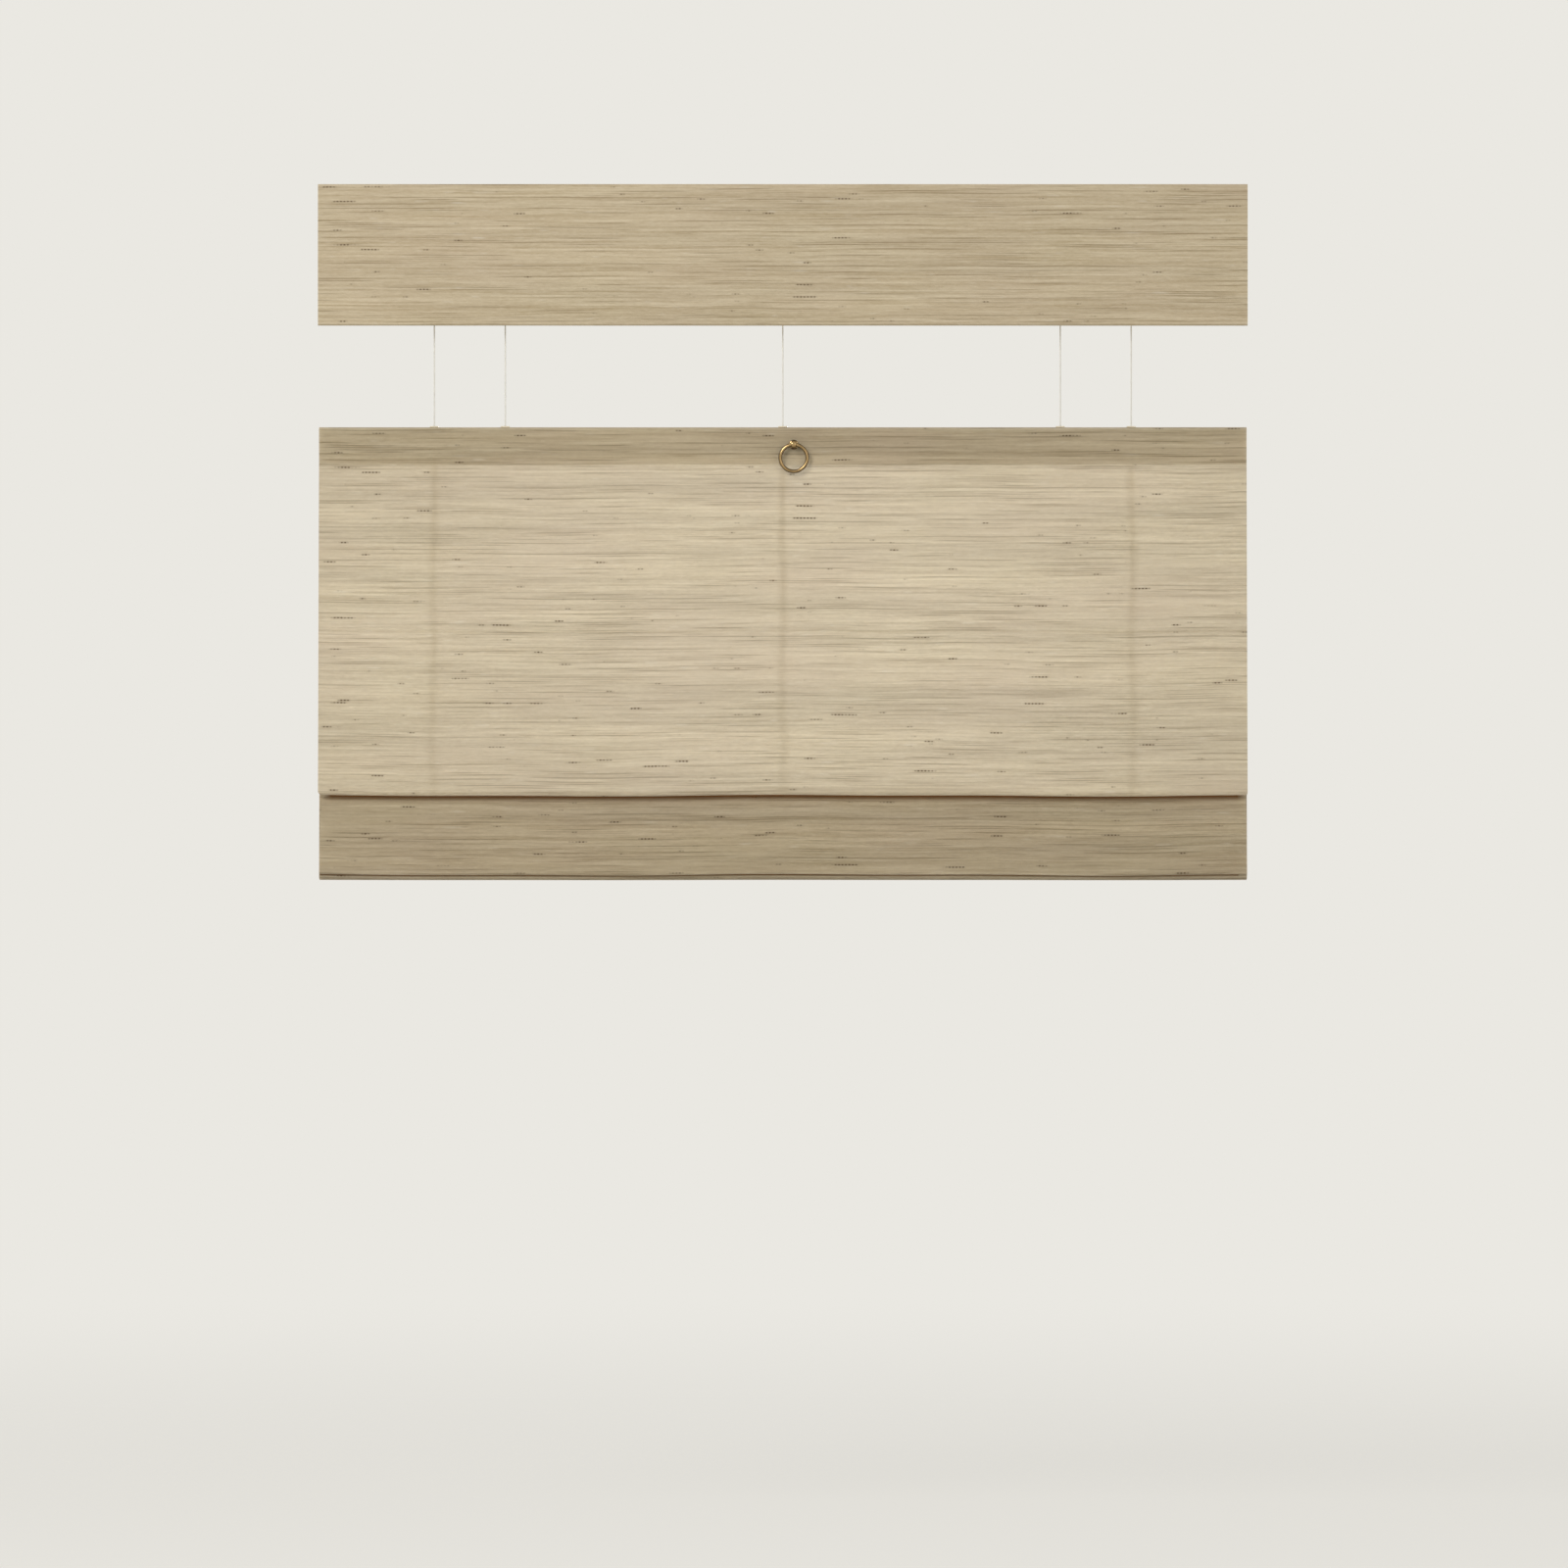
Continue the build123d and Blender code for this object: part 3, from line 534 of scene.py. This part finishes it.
def pocket_pins():
    """The panel's top: a flap stitched behind the front, up the back of the rail and over it."""
    bend = RAIL_CORNER + CLOTH_GAP + CREST / 2
    stitch_z = RAIL_FLOOR - STITCH_BELOW_RAIL
    flap_y = -STITCH_FRONT + CREST + FLAP_GAP
    side = RAIL_DEPTH / 2 - RAIL_CORNER
    upper, lower = RAIL_TOP - RAIL_CORNER, RAIL_FLOOR + RAIL_CORNER
    return [
        (flap_y, stitch_z - POCKET_FLAP, 0, 1),
        (flap_y + STITCH_BEND, stitch_z, STITCH_BEND, -1),
        (side, lower, bend, 1),
        (side, upper, bend, 1),
        (-side, upper, bend, 1),
        (-side, lower, bend, 1),
        (-STITCH_FRONT - STITCH_BEND, stitch_z, STITCH_BEND, -1),
    ]


def fold_pins():
    """The panel's front edge and the loops behind it, each a crease above and a bend below."""
    edge_z = FRONT_FOLD + CREST / 2 + FRONT_EDGE_BEND
    loop_z = FRONT_FOLD - LOOP_FALL + CREST / 2 + FOLD_BEND
    crease_z = edge_z - FRONT_EDGE_BEND - CREASE_BELOW_EDGE
    pins = [(-FRONT_EDGE_DEPTH + FRONT_EDGE_BEND, edge_z, FRONT_EDGE_BEND, 1)]
    for k in range(LOOP_COUNT):
        pins.append((-FIRST_CREASE_DEPTH + k * FOLD_PITCH, crease_z - k * CREASE_STEP, FOLD_BEND, -1))
        pins.append((-FIRST_LOOP_DEPTH + k * FOLD_PITCH, loop_z - LOOP_DROPS[k], FOLD_BEND, 1))
    k = LOOP_COUNT
    pins.append((-FIRST_CREASE_DEPTH + k * FOLD_PITCH, crease_z - k * CREASE_STEP, FOLD_BEND, -1))
    return pins


def panel_pins():
    """The whole panel, from the flap behind the rail to the hem round the bottom bar."""
    last_loop = -FIRST_LOOP_DEPTH + (LOOP_COUNT - 1) * FOLD_PITCH + FOLD_BEND
    hem_end = FRONT_FOLD - LOOP_FALL - HEM_DROP
    hem_y = last_loop + CREST + HEM_LOOP_GAP + HEM_BEND
    hem = (hem_y, hem_end + CREST / 2 + HEM_BEND, HEM_BEND, 1)
    back = run_headings([fold_pins()[-1], hem])[0] + math.pi
    end_y, end_z = on_pin(hem, back)
    end = (end_y + HEM_HEIGHT * math.cos(back), end_z + HEM_HEIGHT * math.sin(back), 0, 1)
    return [*pocket_pins(), *fold_pins(), hem, end]


def valance_pins():
    """The valance: turned over at the top, and hemmed at the bottom."""
    flap, front, hem = VALANCE_DEPTHS.values()
    turn = (hem - front) / 2
    top = VALANCE_TOP - CREST / 2 - VALANCE_TOP_TURN
    bottom = VALANCE_BOTTOM + CREST / 2 + turn
    return [
        (flap, top - VALANCE_FLAP, 0, 1),
        (front + VALANCE_TOP_TURN, top, VALANCE_TOP_TURN, 1),
        (front + turn, bottom, turn, 1),
        (hem, bottom + VALANCE_HEM, 0, 1),
    ]


def yarn_relief(rows, seed):
    """The cloth's thickness at each row and column: round wefts of uneven size."""
    draw = np.random.default_rng(seed)
    across = np.linspace(0, 1, CLOTH_COLUMNS)
    count = int(rows[-1, 3] / WEFT_PITCH) + 2
    knots = np.linspace(0, 1, WEFT_KNOTS)
    sizes = [draw.uniform(*WEFT_SWELL, WEFT_KNOTS) for _ in range(count)]
    swell = np.array([np.interp(across, knots, size) for size in sizes])
    weft = (rows[:, 3] / WEFT_PITCH).astype(int)
    phase = rows[:, 3] / WEFT_PITCH - weft
    round_back = np.sqrt(np.sin(np.pi * np.clip(phase, WEFT_GROOVE, 1 - WEFT_GROOVE)))
    plain = HIDDEN_LEVEL * (1 - rows[:, 4])
    height = (round_back * rows[:, 4])[:, None] * swell[weft] + plain[:, None]
    return VALLEY + (CREST - VALLEY) * height


def hang_unevenly(points):
    """Lets the front of the panel wander a little, as cloth does between its cords."""
    x, y = points[..., 0], points[..., 1]
    loose = np.clip((-y - LOOSE_FROM) / LOOSE_OVER, 0, 1)
    for axis, waves in ((2, HANG_WAVES), (1, SWAY_WAVES)):
        points[..., axis] += loose * sum(size * np.sin(x / span + start) for size, span, start in waves)
    # The hollow where the pull ring has rested on the front of the cloth
    low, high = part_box("pull_ring")
    aside = (x - (low.x + high.x) / (2 * MM)) / HOLLOW_WIDTH
    above = (points[..., 2] - low.z / MM) / HOLLOW_HEIGHT
    hollow = HOLLOW_DEPTH * np.exp(-(aside**2) - above**2)
    points[..., 1] += np.where(y < -STITCH_FRONT + CREST / 2, hollow, 0)


def mesh_piece(name, points, faces, material):
    """A smooth mesh object from points in millimetres, creased where its faces meet at a corner."""
    mesh = bpy.data.meshes.new(name)
    mesh.from_pydata((np.asarray(points, float).reshape(-1, 3) * MM).tolist(), [], faces)
    mesh.polygons.foreach_set("use_smooth", [True] * len(mesh.polygons))
    mesh.set_sharp_from_angle(angle=CORNER)
    mesh.materials.append(material)
    piece = bpy.data.objects.new(name, mesh)
    bpy.context.scene.collection.objects.link(piece)
    return piece


def wound_faces(rings, sides, closed):
    """The faces of a skin of rings with this many points each. It closes on itself or has flat ends."""
    faces = []
    for r in range(rings if closed else rings - 1):
        s = (r + 1) % rings
        for c in range(sides):
            d = (c + 1) % sides
            faces.append((r * sides + c, r * sides + d, s * sides + d, s * sides + c))
    if not closed:
        faces.append(tuple(range(sides - 1, -1, -1)))
        faces.append(tuple((rings - 1) * sides + c for c in range(sides)))
    return faces


def cloth_piece(name, rows, thick, material, insets=(0.0, 0.0), crease=None):
    """One sheet with two faces and its cut edges, from its rows and their thickness. The panel hangs
    unevenly, and crease is how much painted shade each row takes in the folds. Its mesh keeps each
    row's place down the cloth, in metres, and its painted shade."""
    count = len(rows)
    y, z, heading = (rows[:, i][:, None] for i in range(3))
    left, right = (np.broadcast_to(inset, (count,))[:, None] for inset in insets)
    share = np.linspace(0, 1, CLOTH_COLUMNS)[None, :]
    x = (-CLOTH_WIDTH / 2 + left) * (1 - share) + (CLOTH_WIDTH / 2 - right) * share
    inner = np.stack([x, y - np.sin(heading) * thick / 2, z + np.cos(heading) * thick / 2], axis=-1)
    outer = np.stack([x, y + np.sin(heading) * thick / 2, z - np.cos(heading) * thick / 2], axis=-1)
    points = np.concatenate([inner, outer[:, ::-1]], axis=1)
    if crease is not None:
        hang_unevenly(points)
    sides = 2 * CLOTH_COLUMNS
    faces = wound_faces(count, sides, True)[: (count - 1) * sides]
    for r in (0, count - 1):
        for c in range(CLOTH_COLUMNS - 1):
            strip = [r * sides + k for k in (c, c + 1, sides - 2 - c, sides - 1 - c)]
            faces.append(tuple(strip if r else strip[::-1]))
    piece = mesh_piece(name, points, faces, material)
    # The painted shade in the folds is on the outer face, and ends before its cut edges
    shaded = np.zeros(sides)
    shaded[CLOTH_COLUMNS + 1 : -1] = 1
    deep = np.zeros(count) if crease is None else crease
    marks = {
        "down_the_cloth": np.repeat(rows[:, 3] * MM, sides),
        "crease": np.outer(deep, shaded).ravel(),
    }
    for mark, values in marks.items():
        kept = piece.data.attributes.new(mark, "FLOAT", "POINT")
        kept.data.foreach_set("value", values)
    return piece


def make_valance(finishes):
    """The valance, which hangs on the front of the headrail."""
    rows = cloth_rows(valance_pins())
    piece = cloth_piece("valance_weave", rows, yarn_relief(rows, VALANCE_SEED), finishes["backed"])
    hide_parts("valance")
    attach(piece, "headrail")


def follow_rail(piece):
    """A piece of the panel's upper half, with its place baked into its mesh."""
    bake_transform(piece)


def follow_bar(piece):
    """A piece of the panel's lower half, with its place baked into its mesh."""
    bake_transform(piece)


def make_panel(finishes):
    """The panel in three lengths: round the rail, the lower front fall, and the folds with the hem."""
    pins = panel_pins()
    first_fold = len(pocket_pins())
    hidden = range(first_fold, first_fold + 2 * LOOP_COUNT + 1)
    shown = (first_fold + 1, first_fold + 2 * LOOP_COUNT)
    rows = cloth_rows(pins, [i for i in hidden if i not in shown])
    thick = yarn_relief(rows, PANEL_SEED)
    length = rows[:, 3]
    fall = np.nonzero((rows[:, 0] < -STITCH_FRONT) & (rows[:, 1] < PANEL_SPLIT))[0][0]
    edge = np.nonzero(rows[:, 1] < FALL_END)[0][0]
    after = np.clip(length - length[edge], 0, None)
    drawn_in = np.minimum(after / INSET_START, 1)
    fades = np.exp(-after / INSET_REACH)
    left, right = (drawn_in * (loop + more * fades) for loop, more in LOOP_INSETS)
    # The first crease is as far back as the cloth goes behind its front edge; painted shade fades out
    # from it
    behind = np.where((after > 0) & (after < CREASE_SEARCH), rows[:, 0], -math.inf)
    crease = np.exp(-(((length - length[np.argmax(behind)]) / CREASE_SHADE) ** 2))
    # Painted shade on the second loop where it comes out below the first
    order = (rows[:, 0] + FIRST_LOOP_DEPTH + FOLD_BEND + CREST / 2) / FOLD_PITCH
    out = FRONT_FOLD - LOOP_FALL - rows[:, 1]
    tucked = (after > 0) & (order.astype(int) == 1) & (out > -EDGE_REACH)
    crease = np.where(tucked, np.maximum(crease, 1 - out / EDGE_SHADE), crease)
    cuts = {
        "panel_head_weave": (0, fall),
        "panel_fall_weave": (fall, edge),
        "panel_folds_weave": (edge, len(rows) - 1),
    }
    made = {}
    for name, (first, last) in cuts.items():
        part = slice(first, last + 1)
        insets = (left[part], right[part])
        piece = cloth_piece(name, rows[part], thick[part], finishes["weave"], insets, crease[part])
        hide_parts("woven_panel")
        made[name] = piece
    follow_rail(made["panel_head_weave"])
    follow_bar(made["panel_fall_weave"])
    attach(made["panel_folds_weave"], "bottom_bar")


def tube(name, path, radius, sides, material, across, twist=0.0):
    """A round tube along a path of points, with flat ends. Twist ribs it like a braid."""
    path = np.asarray(path, float)
    along = np.gradient(path, axis=0)
    along /= np.linalg.norm(along, axis=1)[:, None]
    side = np.cross(along, across)
    side /= np.linalg.norm(side, axis=1)[:, None]
    other = np.cross(along, side)
    angle = np.arange(sides) * 2 * math.pi / sides
    step = np.arange(len(path))[:, None]
    ribs = radius * (1 + twist * np.cos(CORD_STRANDS * angle[None, :] + step * math.pi / 2))
    ring = side[:, None] * np.cos(angle)[:, None] + other[:, None] * np.sin(angle)[:, None]
    points = path[:, None] + ring * ribs[..., None]
    return mesh_piece(name, points, wound_faces(len(path), sides, False), material)


def spline_points(route, row):
    """Points about a row apart on the smooth line that has the route's points as its controls."""
    curve = bpy.data.curves.new("route", "CURVE")
    curve.dimensions = "3D"
    line = curve.splines.new("NURBS")
    line.points.add(len(route) - 1)
    for point, place in zip(line.points, route):
        point.co = (*place, 1.0)
    line.order_u = 3
    line.use_endpoint_u = True
    reach = sum(math.dist(a, b) for a, b in zip(route, route[1:]))
    line.resolution_u = round(reach / row / (len(route) - 1))
    holder = bpy.data.objects.new("route", curve)
    mesh = bpy.data.meshes.new_from_object(holder)
    points = [tuple(v.co) for v in mesh.vertices]
    bpy.data.objects.remove(holder)
    bpy.data.curves.remove(curve)
    bpy.data.meshes.remove(mesh)
    return points


def middle_of(node):
    """The middle of a node at rest, in millimetres."""
    low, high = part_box(node)
    return np.array((low + high) / (2 * MM))


def make_cords(finishes):
    """The five lift cords, each pulled straight from its spool to the rail or bar that it lifts."""
    for node in sorted(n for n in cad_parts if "_cord_" in n and "stop" not in n):
        low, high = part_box(node)
        x = middle_of(node)[0]
        top, end = high.z / MM, low.z / MM
        route = [(x, 0.0, z) for z in (top, SNOUT_END, (top + end) / 2, end)]
        path = spline_points(route, CORD_ROW)
        cord = tube(
            f"{node}_braid", path, CORD_RADIUS, CORD_SIDES, finishes["cord"], (0, 1, 0), CORD_TWIST
        )
        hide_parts(node)
        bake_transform(cord)


def turned(name, profile, centre, axis, material, sides=TURNED_SIDES):
    """A piece turned about an axis, 0 for X or 1 for Y, from a closed profile of (along, radius)."""
    profile = np.asarray(profile, float)
    angle = np.arange(sides)[:, None] * 2 * math.pi / sides
    along = np.broadcast_to(profile[:, 0], (sides, len(profile)))
    spread = [profile[:, 1] * np.cos(angle), profile[:, 1] * np.sin(angle)]
    order = [along, *spread] if axis == 0 else [spread[1], along, spread[0]]
    points = np.stack(order, axis=-1) + centre
    return mesh_piece(name, points, wound_faces(sides, len(profile), True), material)


def make_spools(finishes):
    """The five turned spools, with the wraps of cord that are wound on them at rest."""
    ease = EDGE_EASE
    face = SPOOL_HALF + SPOOL_FLANGE
    half = [
        (SPOOL_HALF, SPOOL_DRUM_RADIUS),
        (SPOOL_HALF, SPOOL_FLANGE_RADIUS - ease),
        (SPOOL_HALF + ease, SPOOL_FLANGE_RADIUS),
        (face - ease, SPOOL_FLANGE_RADIUS),
        (face, SPOOL_FLANGE_RADIUS - ease),
        (face, JOURNAL_RADIUS),
        (JOURNAL_END - ease, JOURNAL_RADIUS),
        (JOURNAL_END, JOURNAL_RADIUS - ease),
        (JOURNAL_END, SHAFT_BORE),
    ]
    profile = [*half, *[(-along, radius) for along, radius in reversed(half)]]
    for node in sorted(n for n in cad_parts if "_spool_" in n):
        lift = node.split("_")[0]
        centre = middle_of(node)
        spool = turned(f"{node}_turned", profile, centre, 0, finishes["acetal"])
        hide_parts(node)
        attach(spool, f"{lift}_shaft")
        turns = WRAPS[lift]
        angle = np.linspace(0, 2 * math.pi * turns, WRAP_STEPS * turns + 1)
        along = WRAP_PITCH * (angle / (2 * math.pi) - turns / 2)
        helix = [along, WRAP_RADIUS * np.cos(angle), WRAP_RADIUS * np.sin(angle)]
        path = np.stack(helix, axis=-1) + centre
        wraps = tube(f"{node}_wraps", path, CORD_RADIUS, CORD_SIDES, finishes["cord"], (1, 0, 0))
        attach(wraps, f"{lift}_shaft")


def make_tapes(finishes):
    """The knitted sleeves behind the panel, each in two lengths."""
    angle = np.arange(TAPE_SIDES) * 2 * math.pi / TAPE_SIDES
    flat = np.sign(np.cos(angle)) * np.abs(np.cos(angle)) ** TAPE_ROUNDING
    for node in sorted(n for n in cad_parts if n.startswith("shroud_tape")):
        low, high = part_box(node)
        x = middle_of(node)[0]
        halves = {"upper": (high.z / MM, PANEL_SPLIT), "lower": (PANEL_SPLIT, low.z / MM)}
        for name, (top, end) in halves.items():
            z = np.linspace(top, end, round((top - end) / TAPE_ROW))[:, None]
            rib = 1 - TAPE_RIB + TAPE_RIB * np.cos(np.arange(len(z)) * math.pi)[:, None]
            bunch = np.clip((FALL_END - z) / BUNCH_REACH, 0, 1) * BUNCH_SIZE * np.sin(z / BUNCH_LENGTH)
            wide = (TAPE_WIDTH / 2) * rib * (1 - BUNCH_NARROWS * np.abs(bunch))
            deep = (TAPE_THICKNESS / 2) * rib * (TAPE_FULLNESS + BUNCH_SWELLS * bunch)
            crooked = sum(size * np.sin(z / length + x) for size, length in TAPE_CROOKS)
            level = np.broadcast_to(z, (len(z), TAPE_SIDES))
            outer = np.stack([x + crooked + wide * flat, deep * np.sin(angle), level], axis=-1)
            bore = TAPE_BORE / 2
            hole = [x + bore * np.cos(angle) + 0 * z, bore * np.sin(angle) + 0 * z, level]
            inner = np.stack(hole, axis=-1)
            points = np.concatenate([outer, inner[::-1]])
            faces = wound_faces(len(points), TAPE_SIDES, True)
            sleeve = mesh_piece(f"{node}_{name}_sleeve", points, faces, finishes["tape"])
            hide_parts(node)
            follow = follow_rail if name == "upper" else follow_bar
            follow(sleeve)


def make_ring(finishes):
    """The pull ring, a plain round wire, and the eye that carries it on its rosette."""
    turns = np.linspace(0, 2 * math.pi, WIRE_SIDES, endpoint=False)
    cosine, sine = np.cos(turns), np.sin(turns)
    wire = RING_WIRE / 2
    section = np.stack([wire * sine, RING_OUTER_RADIUS - wire + wire * cosine], axis=-1)
    ring = turned("pull_ring_brass", section, middle_of("pull_ring"), 1, finishes["brass"], RING_SIDES)
    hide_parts("pull_ring")
    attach(ring, "pull_ring")

    eye_centre = middle_of("ring_eye")
    eye_centre[1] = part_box("ring_eye")[0].y / MM + EYE_RADIUS
    wall = (EYE_RADIUS - EYE_BORE) / 2
    soft = [np.sign(part) * np.abs(part) ** EYE_ROUNDING for part in (cosine, sine)]
    section = np.stack([EYE_WIDTH / 2 * soft[0], EYE_BORE + wall + wall * soft[1]], axis=-1)
    eye = turned("ring_eye_loop", section, eye_centre, 0, finishes["brass"])
    face = EYE_REACH - ROSETTE_THICKNESS
    start = EYE_BORE + wall
    profile = [
        (start, SHANK_CORE),
        (start, NECK_RADIUS),
        *[(face + along, radius) for along, radius in ROSETTE_DISH],
        (EYE_REACH, ROSETTE_RADIUS - ROSETTE_BACK_EASE),
        (EYE_REACH, SHANK_RADIUS),
        (EYE_REACH + SHANK_LENGTH, SHANK_RADIUS - EDGE_EASE),
        (EYE_REACH + SHANK_LENGTH, SHANK_CORE),
    ]
    rosette = turned("ring_eye_rosette", profile, eye_centre, 1, finishes["brass"])
    for piece in (eye, rosette):
        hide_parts("ring_eye")
        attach(piece, "mid_rail")


def dress_plain_nodes(finishes):
    """The finishes of the pieces that stay as they are, with their sharp edges eased."""
    groups = {
        "enamel": (["headrail"], 0.0),
        "acetal": (["headrail_end_cap", "_cradle_", "_cord_stop_", "cord_cleat_"], 0.25),
        "zinc": (["mounting_bracket"], 0.2),
        "drawn": (["_lift_shaft", "mid_spring", "bottom_spring", "valance_hem_bar"], 0.0),
        "grey": (["mid_spring_", "bottom_spring_"], 0.3),
        "strip": (["valance_hook_strip", "valance_loop_strip"], 0.0),
        "aluminium": (["mid_rail", "bottom_bar"], 0.0),
        "cream": (["mid_rail_end_cap", "_grommet_"], 0.3),
    }
    # A node takes the longest of these words that is in its name
    finish_of = {word: (name, ease) for name, (words, ease) in groups.items() for word in words}
    for node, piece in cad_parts.items():
        if piece.hide_render:
            continue
        finish, ease = finish_of[max((word for word in finish_of if word in node), key=len)]
        piece.data.materials.clear()
        piece.data.materials.append(finishes[finish])
        if ease:
            weld = piece.modifiers.new("weld", "WELD")
            weld.merge_threshold = WELD_GAP * MM
            bevel = piece.modifiers.new("eased_edges", "BEVEL")
            bevel.width = ease * MM
            bevel.segments = 2
            bevel.limit_method = "ANGLE"


def make_camera():
    """The photograph's view: square on to the front, from far off."""
    width = PHOTO_PIXELS * PHOTO_SCALE
    camera = bpy.data.cameras.new("camera")
    camera.sensor_width = SENSOR
    camera.lens = SENSOR * CAMERA_DISTANCE / width
    camera.clip_end = VIEW_REACH
    holder = bpy.data.objects.new("camera", camera)
    front = VALANCE_DEPTHS["front"]
    holder.location = Vector((PHOTO_MIDDLE_X, front - CAMERA_DISTANCE, PHOTO_MIDDLE_Z)) * MM
    holder.rotation_euler = (math.pi / 2, 0, 0)
    bpy.context.scene.collection.objects.link(holder)
    bpy.context.scene.camera = holder


def make_softbox(name, place, size, power, aim, spread=180):
    """A flat lamp of this width and height."""
    lamp = bpy.data.lights.new(name, "AREA")
    lamp.shape = "RECTANGLE"
    lamp.size, lamp.size_y = size
    lamp.energy = power
    lamp.spread = math.radians(spread)
    holder = bpy.data.objects.new(name, lamp)
    holder.location = place
    holder.rotation_euler = (Vector(aim) - Vector(place)).to_track_quat("-Z", "Y").to_euler()
    bpy.context.scene.collection.objects.link(holder)


def make_floor():
    """A pale matt floor that fades into the surround, evenly lit to the eye, and keeps the blind's
    shadow. It is clear from below."""
    quarters = [(-1, -1), (1, -1), (1, 1), (-1, 1)]
    corners = [(x * FLOOR_HALF, y * FLOOR_HALF, FLOOR_LEVEL) for x, y in quarters]
    mesh = bpy.data.meshes.new("floor")
    mesh.from_pydata(corners, [], [(0, 1, 2, 3)])
    material, tree = new_material("floor_pale_matt")
    place = add(tree, "ShaderNodeTexCoord").outputs["Object"]
    flat = add(tree, "ShaderNodeVectorMath", {0: place, 1: (1, 1, 0)}, operation="MULTIPLY")
    reach = add(tree, "ShaderNodeVectorMath", {0: flat}, operation="LENGTH").outputs["Value"]
    fade = {0: reach, 1: FLOOR_FADE[0], 2: FLOOR_FADE[1]}
    fade = add(tree, "ShaderNodeMapRange", fade, interpolation_type="SMOOTHSTEP")
    under = add(tree, "ShaderNodeNewGeometry").outputs["Backfacing"]
    fade = add(tree, "ShaderNodeMath", {0: fade, 1: under}, operation="MAXIMUM")
    matt = add(tree, "ShaderNodeBsdfDiffuse", {"Color": linear(BACKGROUND)})
    pale = add(tree, "ShaderNodeEmission", {"Color": linear(BACKGROUND), "Strength": 1.0})
    seen = add(tree, "ShaderNodeLightPath").outputs["Is Camera Ray"]
    even = add(tree, "ShaderNodeMath", {0: seen, 1: FLOOR_EVEN}, operation="MULTIPLY")
    floor = add(tree, "ShaderNodeMixShader", {0: even, 1: matt, 2: pale})
    clear = add(tree, "ShaderNodeBsdfTransparent")
    both = add(tree, "ShaderNodeMixShader", {0: fade, 1: floor, 2: clear})
    add(tree, "ShaderNodeOutputMaterial", {"Surface": both})
    mesh.materials.append(material)
    floor = bpy.data.objects.new("floor", mesh)
    bpy.context.scene.collection.objects.link(floor)


def make_studio():
    """A pale surround, soft light from the front and above, and a gridded lamp behind the panel."""
    world = bpy.data.worlds.new("studio")
    world.use_nodes = True
    tree = world.node_tree
    tree.nodes.clear()
    path = add(tree, "ShaderNodeLightPath").outputs
    seen = path["Is Camera Ray"]
    for ray in ("Is Glossy Ray", "Is Transmission Ray"):
        seen = add(tree, "ShaderNodeMath", {0: seen, 1: path[ray]}, operation="MAXIMUM")
    soft = {"Color": linear(SURROUND), "Strength": SURROUND_LIGHT}
    soft = add(tree, "ShaderNodeBackground", soft)
    pale = add(tree, "ShaderNodeBackground", {"Color": linear(BACKGROUND), "Strength": 1.0})
    both = add(tree, "ShaderNodeMixShader", {0: seen, 1: soft, 2: pale})
    add(tree, "ShaderNodeOutputWorld", {"Surface": both})
    bpy.context.scene.world = world
    for name, lamp in LAMPS.items():
        make_softbox(name, **lamp)
    make_floor()
    bpy.context.scene.view_settings.view_transform = "Standard"


make_camera()
finishes = make_finishes()
make_cords(finishes)
make_panel(finishes)
make_valance(finishes)
make_spools(finishes)
make_tapes(finishes)
make_ring(finishes)
dress_plain_nodes(finishes)
make_studio()
